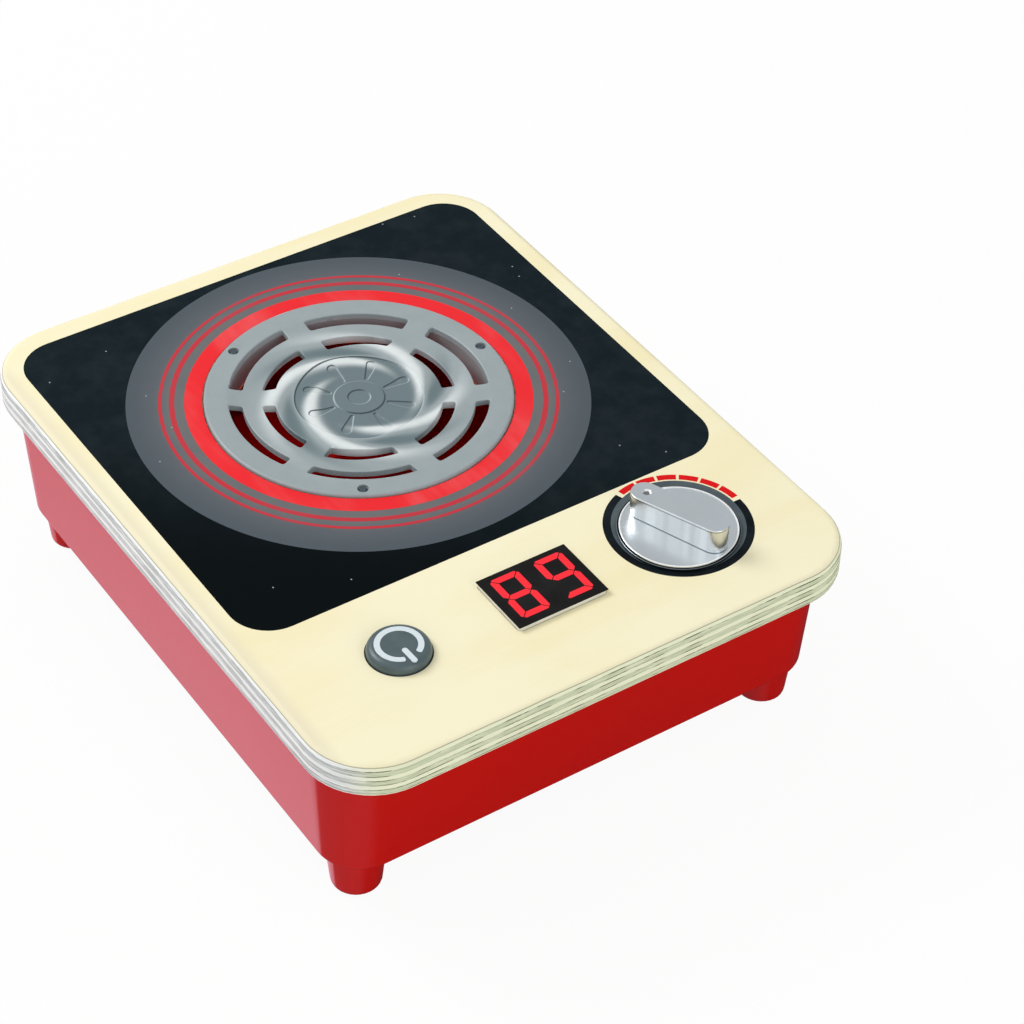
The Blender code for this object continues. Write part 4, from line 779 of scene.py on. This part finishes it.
# Painted light: the sweep attribute gives the swirling arms a painted highlight along their crests and
# painted shade in the hollows beside them.
sweep = source(grey, "Attribute", attribute_name="sweep")["Fac"]
facing = source(grey, "Attribute", attribute_name="facing")["Fac"]
out = from_axis(grey, burner)
tone = mixed(ranged(out, HUB_RADIUS - 0.2 * MM, HUB_RADIUS), HUB_SLATE, GRILLE_GREY)
tone = mixed(ranged(sweep, 0.0, 0.5, 1, 0), tone, GRILLE_MOTTLE_AND_PAINTED_SHADE)
tone = mixed(ranged(sweep, 0.5, 1.0), tone, GRILLE_PAINTED_HIGHLIGHT)
clouds = grain(grey, 5 * MM, 4, 0.6)
tone = mixed(ranged(clouds, 0.3, 0.8, 0, 0.12), tone, GRILLE_MOTTLE_AND_PAINTED_SHADE)
# Painted highlight: sharp convex edges, such as the slots' rims, are made lighter.
painted_edge_highlight = ranged(source(grey, "NewGeometry")["Pointiness"], 0.52, 0.60, 0, 0.6)
outside_hub = ranged(out, HUB_RADIUS, SLOT_RINGS[0][0])
tone = mixed(times(painted_edge_highlight, outside_hub), tone, GRILLE_PAINTED_EDGE_HIGHLIGHT)
# Painted light on hub slopes that face the light, painted shade on those that face away.
tone = mixed(ranged(facing, 0.5, 0.66, 0, 0.8), tone, RELIEF_PAINTED_LIGHT)
tone = mixed(ranged(facing, 0.34, 0.5, 0.85, 0), tone, RELIEF_PAINTED_SHADE)
coated(grey, tone, clouds, 0.34, 0.44, 0.006 * MM, grain(grey, 0.35 * MM, 2))
grille = finished("grille_moulding", grille, "housing", grey)
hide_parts("burner_grille")
# The sweep values: painted highlight on the arms' crests and painted shade in their hollows.
values = grille.data.attributes.new("sweep", "FLOAT", "POINT").data
for vert, value in zip(grille.data.vertices, values):
    x, y, z = vert.co - burner
    value.value = 0.5 + (crest_at(x, y) - valley_at(x, y)) / 2


def two_toned(name, tones, size, roughness, depth=None, **shader_inputs):
    """A material whose two tones, roughness and perhaps relief all follow one fine grain."""
    material = new_material(name, **shader_inputs)
    fine = grain(material, size, 3)
    coated(material, mixed(fine, *tones), fine, *roughness, depth)
    return material


steel_tones = (screen(70, 80, 88), screen(110, 122, 130))
dark_steel = two_toned("blackened steel", steel_tones, 0.3 * MM, (0.35, 0.5), 0.01 * MM, Metallic=1.0)
dressed(dark_steel, "grille_screw_1", "grille_screw_2", "grille_screw_3")


# Display
# A raised white plastic tile sits in a pocket of the board. A printed black film is stuck on it, with two red
# figures drawn as seven-segment digits.

DIGIT_WIDTH = 9.8 * MM
DIGIT_HEIGHT = 18.2 * MM
DIGIT_STROKE = 2.15 * MM
DIGIT_GAP = 0.196 * MM
DIGIT_MITRE_SHARE = 0.55
DIGIT_SHIFT = Vector((0.2 * MM, 0.4 * MM, 0))
DIGIT_CENTRES = (-7.5 * MM, 7.5 * MM)
DIGIT_LIFT = 0.02 * MM
SEGMENTS_LIT = ("abcdefg", "abcdfg")
FILM_THICKNESS = 0.1 * MM
FILM_CORNER = 0.25 * MM
FILM_EDGE = 0.04 * MM
BLOCK_CORNER = 1.2 * MM

TILE_WHITE = screen(238, 236, 226)
TILE_WHITE_DEEP = screen(226, 224, 214)
DIGIT_RED = screen(246, 38, 50)
DIGIT_RED_PALE = screen(250, 50, 62)

tile_low, tile_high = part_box("display_tile")
film_low, film_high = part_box("display_label")
display = middle(film_low, film_high)
film_bottom = film_high.z - FILM_THICKNESS

white = new_material("white tile plastic", Specular_IOR_Level=0.4)
tone = mixed(spread(grain(white, 6 * MM, 2)), TILE_WHITE, TILE_WHITE_DEEP)
coated(white, tone, grain(white, 0.8 * MM, 3), 0.35, 0.5, 0.004 * MM)
dressed(white, "switch_plunger")
half = (tile_high - tile_low) / 2
block = moved(plate(half.x, half.y, BLOCK_CORNER, tile_low.z, film_bottom, 8), display)
block = finished("display_block", block, "housing", white)
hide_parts("display_tile")

film_ink = speckled_ink("black display film", screen(28, 27, 27), screen(36, 35, 35))
half = (film_high - film_low) / 2
film = plate(half.x, half.y, FILM_CORNER, film_bottom, film_high.z, 3)
softened(film, FILM_EDGE, 2, lambda edge: is_level(edge, film_high.z))
film = finished("display_film", moved(film, display), "housing", film_ink)
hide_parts("display_label")


def bar_end(reach, at_corner):
    """The outline of a bar's end, from its inner side to its outer side: mitred, or pointed at a junction."""
    half = DIGIT_STROKE / 2
    outer = DIGIT_MITRE_SHARE * half if at_corner else 0
    end = reach - DIGIT_GAP
    return [(end - half, -half), (end + outer, outer), (end + 2 * outer - half, half)]


def digit_segment(letter):
    """One bar of a seven-segment digit in its place round the digit's middle."""
    level = DIGIT_HEIGHT / 2 - DIGIT_STROKE / 2
    side = DIGIT_WIDTH / 2 - DIGIT_STROKE / 2
    places = {
        "a": (0, level, 0, side, True, True),
        "b": (side, level / 2, -90, level / 2, False, True),
        "c": (side, -level / 2, -90, level / 2, True, False),
        "d": (0, -level, 180, side, True, True),
        "e": (-side, -level / 2, 90, level / 2, False, True),
        "f": (-side, level / 2, 90, level / 2, True, False),
        "g": (0, 0, 0, side, False, False),
    }
    x, y, turn, reach, corner_ahead, corner_behind = places[letter]
    outline = bar_end(reach, corner_ahead)
    outline += [(-along, across) for along, across in reversed(bar_end(reach, corner_behind))]
    shape = bmesh.new()
    shape.faces.new([shape.verts.new((along, across, 0)) for along, across in outline])
    raised(shape, film_high.z - INK / 2, film_high.z + DIGIT_LIFT)
    return moved(shape, (x, y, 0), turn)


# Painted glow: the printed digits give off a faint red light of their own.
digit_ink = new_material("red digit ink with painted glow", Specular_IOR_Level=0.15, Emission_Strength=0.12)
fine = grain(digit_ink, 0.5 * MM, 3)
lit = mixed(spread(fine), DIGIT_RED, DIGIT_RED_PALE)
coated(digit_ink, lit, fine, 0.35, 0.5)
feed(shader_of(digit_ink)["Emission Color"], lit)
bars = []
for centre, letters in zip(DIGIT_CENTRES, SEGMENTS_LIT):
    for letter in letters:
        bars.append(moved(digit_segment(letter), display + Vector((centre, 0, 0)) + DIGIT_SHIFT))
finished("display_digits", gathered(*bars), "housing", digit_ink)


# Power button
# A moulded slate-grey push cap with a rounded edge, and a printed white power sign: an open ring with a short
# bar. The cap rides in the board's hole and springs back.

CAP_RADIUS = 9.4 * MM
CAP_ROUNDING = 2.1 * MM
CAP_CROWN = 0.25 * MM
CAP_CROWN_RADIUS = 0.72 * CAP_RADIUS
FLANGE_RADIUS = 11.2 * MM
FLANGE_THICKNESS = 1.5 * MM
FLANGE_SINK = 5.3 * MM
STEM_RADIUS = 2 * MM
SIGN_RADIUS = 7.1 * MM
SIGN_STROKE = 1.75 * MM
SIGN_ROUNDING = 0.49 * SIGN_STROKE
SIGN_START = -62
SIGN_SWEEP = 317
SIGN_BAR_ANGLE = -88
SIGN_BAR_START = 2.1 * MM
SIGN_BAR_END = 8.5 * MM
SIGN_STEPS = 72

CAP_SLATE = screen(80, 97, 101)
CAP_SLATE_DARK = screen(72, 89, 94)
SIGN_WHITE = screen(224, 234, 240)
SIGN_WHITE_DEEP = screen(208, 220, 226)

cap_top = button_high.z

slate = new_material("slate cap plastic")
tone = mixed(spread(grain(slate, 4 * MM, 3)), CAP_SLATE, CAP_SLATE_DARK)
coated(slate, tone, grain(slate, 0.3 * MM, 3), 0.30, 0.42, 0.005 * MM)

flange_top = board_top - FLANGE_SINK
section = [
    (0, button_low.z),
    (STEM_RADIUS, button_low.z),
    (STEM_RADIUS, flange_top - FLANGE_THICKNESS),
    (FLANGE_RADIUS, flange_top - FLANGE_THICKNESS),
    (FLANGE_RADIUS, flange_top),
    (CAP_RADIUS, flange_top),
    (CAP_RADIUS, cap_top - CAP_CROWN),
    (CAP_CROWN_RADIUS, cap_top - CAP_CROWN / 4),
    (0, cap_top),
]
cap = swept(section, button, steps=96)
softened(cap, CAP_ROUNDING, 8, lambda edge: is_level(edge, cap_top - CAP_CROWN))
cap = finished("button_cap", cap, "button", slate)
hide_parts("power_button")

sign_ink = two_toned(
    "white sign ink", (SIGN_WHITE, SIGN_WHITE_DEEP), 0.5 * MM, (0.35, 0.5), Specular_IOR_Level=0.3
)
sign_low = cap_top - CAP_CROWN
sign_high = cap_top + INK
stroke = rectangle(SIGN_RADIUS - SIGN_STROKE, SIGN_RADIUS, sign_low, sign_high)
ring = swept(stroke, (0, 0, 0), SIGN_START, SIGN_SWEEP, SIGN_STEPS)
bevelled(ring, upright_edges(ring, SQUARE_ANGLE), SIGN_ROUNDING, 7)
bar = plate((SIGN_BAR_END - SIGN_BAR_START) / 2, SIGN_STROKE / 2, SIGN_ROUNDING, sign_low, sign_high, 7)
bmesh.ops.translate(bar, vec=((SIGN_BAR_END + SIGN_BAR_START) / 2, 0, 0), verts=bar.verts)
sign = moved(gathered(ring, moved(bar, (0, 0, 0), SIGN_BAR_ANGLE)), button)
finished("button_sign", sign, "button", sign_ink)


# Dial print and knob
# The dial is printed on the board: an open black ring, and six red marks that close it at the top right. The
# knob over it is cast in satin silver, with a low skirt, a raised rim, a flat disc and a dimpled pointer bar.

DIAL_MIDDLE_X = 48.1 * MM
DIAL_MIDDLE_Y = -72.1 * MM
DIAL_BLACK_INNER = 19.7 * MM
DIAL_BLACK_OUTER = 22.4 * MM
DIAL_BLACK_START = 110.5
DIAL_BLACK_END = 359.5
DIAL_DISC = 20 * MM
SHAFT_HOLE = 6 * MM
MARK_COUNT = 6
MARK_INNER = 20.6 * MM
MARK_OUTER = 22.7 * MM
MARK_SWEEP = 15.2
MARK_FIRST = 107.5
MARK_LAST = 2.5
MARK_RED = screen(230, 14, 20)
MARK_RED_DEEP = screen(212, 16, 20)
KNOB_RADIUS = 18.4 * MM
SKIRT_HEIGHT = 0.8 * MM
GROOVE = 0.45 * MM
RIM_HEIGHT = 1.4 * MM
RIM_WIDTH = 0.34 * MM
FACE_HEIGHT = 1.1 * MM
KNOB_CLEARANCE = 0.2 * MM
KNOB_TURN = 111.2
SHAFT_RADIUS = 3.5 * MM
BAR_LENGTH = 32.8 * MM
BAR_WIDTH = 8.4 * MM
BAR_ROUNDING = 0.4995 * BAR_WIDTH
BAR_SHIFT = 0.35 * MM
BAR_FALL = 1.0 * MM
FOOT_SHADE_HEIGHT = 0.2 * MM
EDGE_SHADE_TOP = 0.42 * MM
EDGE_SHADE_BOTTOM = 0.8 * MM
BAR_EDGE = 0.3 * MM
DIMPLE_PLACE = 11.5 * MM
POINTER_RADIUS = 1.4 * MM
POINTER_DEPTH = 0.8 * MM
KNOB_STEPS = 128
RIM_RADIUS = KNOB_RADIUS - 1.5 * GROOVE
RIM_SLOPE = 0.2 * MM
RIM_ROUNDING = 0.15 * MM
DISC_EDGE = RIM_RADIUS - RIM_WIDTH - RIM_SLOPE
GROOVE_INNER = RIM_RADIUS + 0.02 * MM
GROOVE_OUTER = KNOB_RADIUS - 0.12 * MM

DISC_SILVER = screen(218, 227, 233)
DISC_SILVER_PALE = screen(226, 235, 241)
SIDE_PAINTED_REFLECTION = screen(216, 217, 217)
SIDE_PAINTED_REFLECTION_PALE = screen(238, 239, 239)
RIM_PAINTED_HIGHLIGHT = screen(250, 252, 253)
SKIRT_SILVER = screen(104, 112, 118)
PAINTED_SHADE_SILVER = screen(74, 80, 86)
RIM_PAINTED_HIGHLIGHT_SHARE = 0.8

knob_low, knob_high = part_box("knob")
hinge = next(joint for joint in frame["joints"] if joint["name"] == "knob_turn")
knob_centre = Vector((hinge["pos_m"][0], hinge["pos_m"][1], board_top))

dial_middle = Vector((DIAL_MIDDLE_X, DIAL_MIDDLE_Y, board_top))
dial_black = speckled_ink("black dial ink", screen(14, 20, 24), screen(26, 33, 38))
dial_grey = speckled_ink("grey dial ink", screen(76, 88, 94), screen(90, 101, 106))
black_sweep = DIAL_BLACK_END - DIAL_BLACK_START
black_ring = ink_ring(DIAL_BLACK_INNER, DIAL_BLACK_OUTER, 1, dial_middle, DIAL_BLACK_START, black_sweep, 120)
finished("dial_black_ring", black_ring, "housing", dial_black)
grey_disc = ink_ring(SHAFT_HOLE, DIAL_DISC, 2, dial_middle)
finished("dial_grey_disc", grey_disc, "housing", dial_grey)

mark_tones = (MARK_RED, MARK_RED_DEEP)
mark_ink = two_toned("red dial ink", mark_tones, 0.8 * MM, (0.4, 0.55), Specular_IOR_Level=0.1)
mark_pitch = (MARK_FIRST - MARK_LAST) / MARK_COUNT
marks = []
for index in range(MARK_COUNT):
    start = MARK_LAST + index * mark_pitch + (mark_pitch - MARK_SWEEP) / 2
    marks.append(ink_ring(MARK_INNER, MARK_OUTER, 3, dial_middle, start, MARK_SWEEP, 12))
finished("dial_red_marks", gathered(*marks), "housing", mark_ink)


def between(value, low, high, way_in, way_out):
    """1 where a value lies between two limits, with a short eased way in and out within them."""
    over_low = ranged(value, low, low + way_in)
    return times(over_low, ranged(value, high - way_out, high, 1, 0))


satin = new_material("satin silver")
from_centre = place_on(satin, knob_centre)
clouds = grain(satin, 12 * MM, 2, place=from_centre)
bar_way = Vector((math.cos(math.radians(KNOB_TURN)), math.sin(math.radians(KNOB_TURN)), 0))
along_bar = measured_along(from_centre, bar_way)
level = part_of(from_centre, 2)
out = from_axis(satin, knob_centre)
fallen = times(worked("ADD", along_bar, BAR_LENGTH / 2), BAR_FALL / BAR_LENGTH)
bar_top = worked("SUBTRACT", knob_high.z - board_top, fallen)
from_top = worked("SUBTRACT", bar_top, level)

tone = mixed(clouds, DISC_SILVER, DISC_SILVER_PALE)
# Painted reflection: the bar's sides get their own paler tone, with soft bands along the bar.
reflection_bands = grain(satin, 4.5 * MM, 1, place=derived("CombineXYZ", {0: along_bar})[0])
painted_side_reflection = mixed(ranged(reflection_bands, 0.35, 0.65), SIDE_PAINTED_REFLECTION, SIDE_PAINTED_REFLECTION_PALE)
over_rim = ranged(level, RIM_HEIGHT, RIM_HEIGHT + 0.05 * MM)
tone = mixed(times(over_rim, ranged(from_top, BAR_EDGE, EDGE_SHADE_TOP)), tone, painted_side_reflection)
# Painted shade: a dark line where the bar meets the disc.
painted_foot_shade = between(level, FACE_HEIGHT, FACE_HEIGHT + 1.4 * FOOT_SHADE_HEIGHT, 0.06 * MM, 0.4 * FOOT_SHADE_HEIGHT)
painted_foot_shade = times(painted_foot_shade, ranged(out, DISC_EDGE - 0.1 * MM, DISC_EDGE, 1, 0))
tone = mixed(painted_foot_shade, tone, PAINTED_SHADE_SILVER)
# Painted shade: a dark band on the bar's sides just under its rounded top edge.
painted_shade_under_edge = between(from_top, EDGE_SHADE_TOP, EDGE_SHADE_BOTTOM, 0.1 * MM, 0.1 * MM)
tone = mixed(times(painted_shade_under_edge, 0.7), tone, PAINTED_SHADE_SILVER)
# Painted highlight: the rim is made near white and less metallic, so that it shows as a bright line.
painted_rim_highlight = between(out, DISC_EDGE, GROOVE_INNER, 0.1 * MM, 0.05 * MM)
tone = mixed(painted_rim_highlight, tone, RIM_PAINTED_HIGHLIGHT)
# Painted shade: the groove round the rim is made dark.
painted_groove_shade = between(out, GROOVE_INNER, GROOVE_OUTER, 0.08 * MM, 0.08 * MM)
tone = mixed(painted_groove_shade, tone, PAINTED_SHADE_SILVER)
tone = mixed(ranged(out, GROOVE_OUTER - 0.05 * MM, GROOVE_OUTER), tone, SKIRT_SILVER)
coated(satin, tone, clouds, 0.24, 0.28, 0.0006 * MM, grain(satin, 0.5 * MM, 2))
feed(shader_of(satin)["Metallic"], worked("SUBTRACT", 1, times(painted_rim_highlight, RIM_PAINTED_HIGHLIGHT_SHARE)))

skirt_top = board_top + SKIRT_HEIGHT
face = board_top + FACE_HEIGHT
rim = board_top + RIM_HEIGHT
section = [
    (0, knob_low.z),
    (SHAFT_RADIUS, knob_low.z),
    (SHAFT_RADIUS, board_top + KNOB_CLEARANCE),
    (KNOB_RADIUS, board_top + KNOB_CLEARANCE),
    (KNOB_RADIUS, skirt_top),
    (KNOB_RADIUS - GROOVE / 2, skirt_top + 0.1 * MM),
    (KNOB_RADIUS - GROOVE, skirt_top - 0.4 * MM),
    (RIM_RADIUS, rim - 0.1 * MM),
    (RIM_RADIUS - RIM_ROUNDING, rim),
    (RIM_RADIUS - RIM_WIDTH, rim),
    (DISC_EDGE, face),
    (0, face),
]
knob_disc = swept(section, (0, 0, 0), steps=KNOB_STEPS)
bar = plate(BAR_LENGTH / 2, BAR_WIDTH / 2, BAR_ROUNDING, skirt_top, knob_high.z, 20)
pointer = [
    (0, knob_high.z - POINTER_DEPTH),
    (POINTER_RADIUS * 0.6, knob_high.z - POINTER_DEPTH * 0.8),
    (POINTER_RADIUS, knob_high.z),
    (POINTER_RADIUS, knob_high.z + MM),
    (0, knob_high.z + MM),
]
bar = cut(bar, swept(pointer, (DIMPLE_PLACE, 0, 0), steps=32))
bmesh.ops.remove_doubles(bar, verts=bar.verts, dist=WELD)
softened(bar, BAR_EDGE, 3, lambda edge: is_rim(edge, knob_high.z))
for vert in bar.verts:
    lifted = (vert.co.z - skirt_top) / (knob_high.z - skirt_top)
    vert.co.z -= BAR_FALL * lifted * (0.5 + vert.co.x / BAR_LENGTH)
bmesh.ops.translate(bar, vec=(0, BAR_SHIFT, 0), verts=bar.verts)
whole = moved(gathered(knob_disc, bar), (knob_centre.x, knob_centre.y, 0), KNOB_TURN)
knob = finished("knob_turned", whole, "dial", satin)
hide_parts("knob")


# Moulded tray
# The lower half is one glossy red moulding with a slight draft, screw posts, a battery bay, a speaker ring
# and four hollow feet. The battery door closes the bay from below. Four long screws hold tray and board.

TRAY_RED = screen(206, 17, 4)
TRAY_RED_DEEP = screen(200, 11, 3)
SEAM_PAINTED_SHADE = screen(60, 14, 14)
SEAM_DEPTH = 0.55 * MM
SEAM_ROUGHNESS = 0.9

tray_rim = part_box("base_tray")[1].z
red = new_material("glossy red plastic", IOR=1.5, Specular_IOR_Level=0.85)
clouds = grain(red, 30 * MM, 2)
# Painted shade: a dark band at the top of the tray's wall, just under the board's overhang, where its shadow
# falls; the roughness rises there too.
seam = part_of(place_on(red, (0, 0, tray_rim)), 2)
shade = ranged(seam, -SEAM_DEPTH, -SEAM_DEPTH / 2)
tone = mixed(clouds, TRAY_RED, TRAY_RED_DEEP)
shader = shader_of(red)
feed(shader["Base Color"], mixed(shade, tone, SEAM_PAINTED_SHADE))
feed(shader["Roughness"], worked("MAXIMUM", spread(clouds, 0.11, 0.15), times(shade, SEAM_ROUGHNESS)))
feed(shader["Normal"], relief(grain(red, 12 * MM, 2), 0.02 * MM))
dressed(red, "base_tray", "battery_door")


# Works inside
# Circuit and lamp boards, switch, guide, bush, speaker, cells and contacts are bought or stamped parts,
# screwed or clipped inside. Only a little of them shows, past the slots and once the door is off.

TRACK_PITCH = 9 * MM
CELL_BAND_FROM = 11 * MM
CELL_BAND_EDGE = 0.4 * MM

steel_tones = (screen(190, 190, 186), screen(214, 213, 208))
steel = two_toned("plated steel", steel_tones, 2 * MM, (0.22, 0.38), 0.02 * MM, Metallic=1.0)
screw_counts = {"guide": 2, "board": 2, "speaker": 2, "door": 2, "tray": 4}
screws = [f"{held}_screw_{index + 1}" for held, count in screw_counts.items() for index in range(count)]
contacts = ["battery_spring_1", "battery_spring_2", "battery_bridge", "terminal_plus", "terminal_minus"]
dressed(steel, *screws, *contacts, "lamp_screw", "knob_screw", "knob_washer", "button_spring")

black_tones = (screen(30, 31, 33), screen(46, 47, 49))
black = two_toned(
    "black moulded plastic", black_tones, 0.4 * MM, (0.4, 0.6), 0.01 * MM, Specular_IOR_Level=0.4
)
dressed(black, "button_guide", "switch_body", "knob_bush", "speaker")

circuit = new_material("green circuit board")
bricks = {"Vector": place_on(circuit), "Scale": 1 / TRACK_PITCH, "Mortar Size": 0.04}
tracks = derived("TexBrick", bricks)["Fac"]
fine = grain(circuit, 0.5 * MM, 3)
mask_green = mixed(fine, screen(18, 96, 52), screen(28, 112, 62))
coated(circuit, mixed(tracks, mask_green, screen(92, 160, 84)), fine, 0.25, 0.4, 0.03 * MM, tracks)
dressed(circuit, "circuit_board", "lamp_board")

lamp = new_material("red lamp", Emission_Strength=7.0, Roughness=0.2)
glow = grain(lamp, 2 * MM, 2)
shader = shader_of(lamp)
feed(shader["Base Color"], mixed(glow, screen(240, 30, 30), screen(255, 70, 60)))
feed(shader["Emission Color"], mixed(glow, screen(255, 20, 20), screen(255, 60, 50)))
dressed(lamp, "led_1", "led_2", "led_3")

sleeve = new_material("cell sleeve")
along_cell = part_of(place_on(sleeve), 0)
band = ranged(along_cell, CELL_BAND_FROM, CELL_BAND_FROM + CELL_BAND_EDGE)
fine = grain(sleeve, 1.5 * MM, 3)
body_tone = mixed(fine, screen(44, 46, 52), screen(60, 62, 68))
coated(sleeve, mixed(band, body_tone, screen(176, 138, 78)), fine, 0.24, 0.36)
dressed(sleeve, "battery_1", "battery_2")


# Floor, light and camera
# A pale floor under a broad lamp behind on the left, a weaker one in front and a white surround. Reflections
# show the surround brighter on some sides, and under its horizon a floor that is lit at the back and dim
# elsewhere. The camera stands where the photograph was taken from.

FLOOR_SIZE = 6.0
FLOOR_DROP = 0.1 * MM
FLOOR_PALE = (0.86, 0.86, 0.86, 1)
FLOOR_WHITE_SHARE = 0.94
AMBIENT = 0.62
SKY_BRIGHT_SIDE = (-0.90, -0.10, 0)
SKY_HALF_WAY = 0.5
SKY_DIM = 0.55
SKY_BRIGHT = 1.0
HORIZON_BRIGHT_SIDE = (0.82, -0.57, 0)
HORIZON_HALF_WAY = 0.3
HORIZON_DARK = 0.05
HORIZON_FADE = (0.10, 0.30)
HORIZON_HAZE = 0.06
FLOOR_DARK = 0.05
FLOOR_VEIL = 0.2
VEIL_HALF_WAY = 0.2
FLOOR_NEAR = 1.0
FLOOR_FAR = 0.7
FLOOR_NEAR_TO_FAR = (-0.75, -0.61)
FLOOR_LIT_FROM = (0.44, 0.49)
FLOOR_TINT = (0.95, 0.67, 0.80, 1)
WHITE = (1, 1, 1, 1)
CAMERA_TARGET = Vector((9.87 * MM, -41.13 * MM, board_top))
CAMERA_DISTANCE = 0.8718
CAMERA_AZIMUTH = -34.8614
CAMERA_ELEVATION = 41.3618
CAMERA_ROLL = 1.7887
CAMERA_LENS = 103.995
SENSOR_WIDTH = 36

floor_shape = bmesh.new()
bmesh.ops.create_grid(floor_shape, x_segments=1, y_segments=1, size=FLOOR_SIZE)
floor = linked("floor", moved(floor_shape, (0, 0, -FLOOR_DROP)))
pale = new_material("pale floor", Base_Color=FLOOR_PALE, Roughness=0.9, Specular_IOR_Level=0.1)
white_share = times(source(pale, "LightPath")["Is Camera Ray"], FLOOR_WHITE_SHARE)
plain = pale.node_tree.nodes["Principled BSDF"].outputs[0]
glowing = source(pale, "Emission")[0]
surface = derived("MixShader", {0: white_share, 1: plain, 2: glowing})[0]
feed(pale.node_tree.nodes["Material Output"].inputs["Surface"], surface)
floor.data.materials.append(pale)
floor.visible_glossy = False

world = bpy.data.worlds.new("studio surround")
world.use_nodes = True
bpy.context.scene.world = world
toward = source(world, "TexCoord")["Generated"]
sideways, backward, upward = [part_of(toward, axis) for axis in range(3)]
sky_side = measured_along(toward, SKY_BRIGHT_SIDE)
sky = ranged(sky_side, -SKY_HALF_WAY, SKY_HALF_WAY, SKY_DIM, SKY_BRIGHT)
horizon_side = measured_along(toward, HORIZON_BRIGHT_SIDE)
low_sky = ranged(horizon_side, -HORIZON_HALF_WAY, HORIZON_HALF_WAY, HORIZON_DARK, SKY_BRIGHT)
sky = blended(ranged(upward, *HORIZON_FADE, 1, 0), sky, low_sky)
veil = ranged(sideways, -VEIL_HALF_WAY, VEIL_HALF_WAY, FLOOR_VEIL, FLOOR_DARK)
lit_ground = ranged(upward, *FLOOR_NEAR_TO_FAR, FLOOR_NEAR, FLOOR_FAR)
ground = blended(ranged(backward, *FLOOR_LIT_FROM), veil, lit_ground)
below = ranged(upward, -HORIZON_HAZE, HORIZON_HAZE, 1, 0)
mirrored = blended(below, sky, ground)
path = source(world, "LightPath")
in_view = worked("MAXIMUM", path["Is Camera Ray"], path["Is Transmission Ray"])
plain = blended(in_view, AMBIENT, 1.0)
surround = world.node_tree.nodes["Background"].inputs
mirrored_ground = times(path["Is Glossy Ray"], below)
feed(surround["Color"], mixed(mirrored_ground, WHITE, FLOOR_TINT))
feed(surround["Strength"], blended(path["Is Glossy Ray"], plain, mirrored))


def add_lamp(name, place, size, power):
    """A broad soft lamp that faces the middle of the hob."""
    data = bpy.data.lights.new(name, "AREA")
    data.shape = "DISK"
    data.size = size
    data.energy = power
    lamp_object = bpy.data.objects.new(name, data)
    lamp_object.location = place
    facing = (Vector((0, 0, board_top)) - Vector(place)).to_track_quat("-Z", "Y")
    lamp_object.rotation_euler = facing.to_euler()
    bpy.context.scene.collection.objects.link(lamp_object)


add_lamp("key lamp", place=(-0.6, 0.9, 1.1), size=0.8, power=12)
add_lamp("fill lamp", place=(0.1, -1.4, 0.6), size=0.9, power=4)

azimuth = math.radians(CAMERA_AZIMUTH)
elevation = math.radians(CAMERA_ELEVATION)
back = Vector((
    math.sin(azimuth) * math.cos(elevation),
    -math.cos(azimuth) * math.cos(elevation),
    math.sin(elevation),
))
right = Vector((0, 0, 1)).cross(back).normalized()
turned = Matrix((right, back.cross(right), back)).transposed().to_4x4()
roll = Matrix.Rotation(math.radians(CAMERA_ROLL), 4, "Z")
camera_data = bpy.data.cameras.new("camera")
camera_data.lens = CAMERA_LENS
camera_data.sensor_width = SENSOR_WIDTH
camera = bpy.data.objects.new("camera", camera_data)
camera.matrix_world = Matrix.Translation(CAMERA_TARGET + back * CAMERA_DISTANCE) @ turned @ roll
bpy.context.scene.collection.objects.link(camera)
bpy.context.scene.camera = camera
bpy.context.scene.view_settings.view_transform = "Standard"
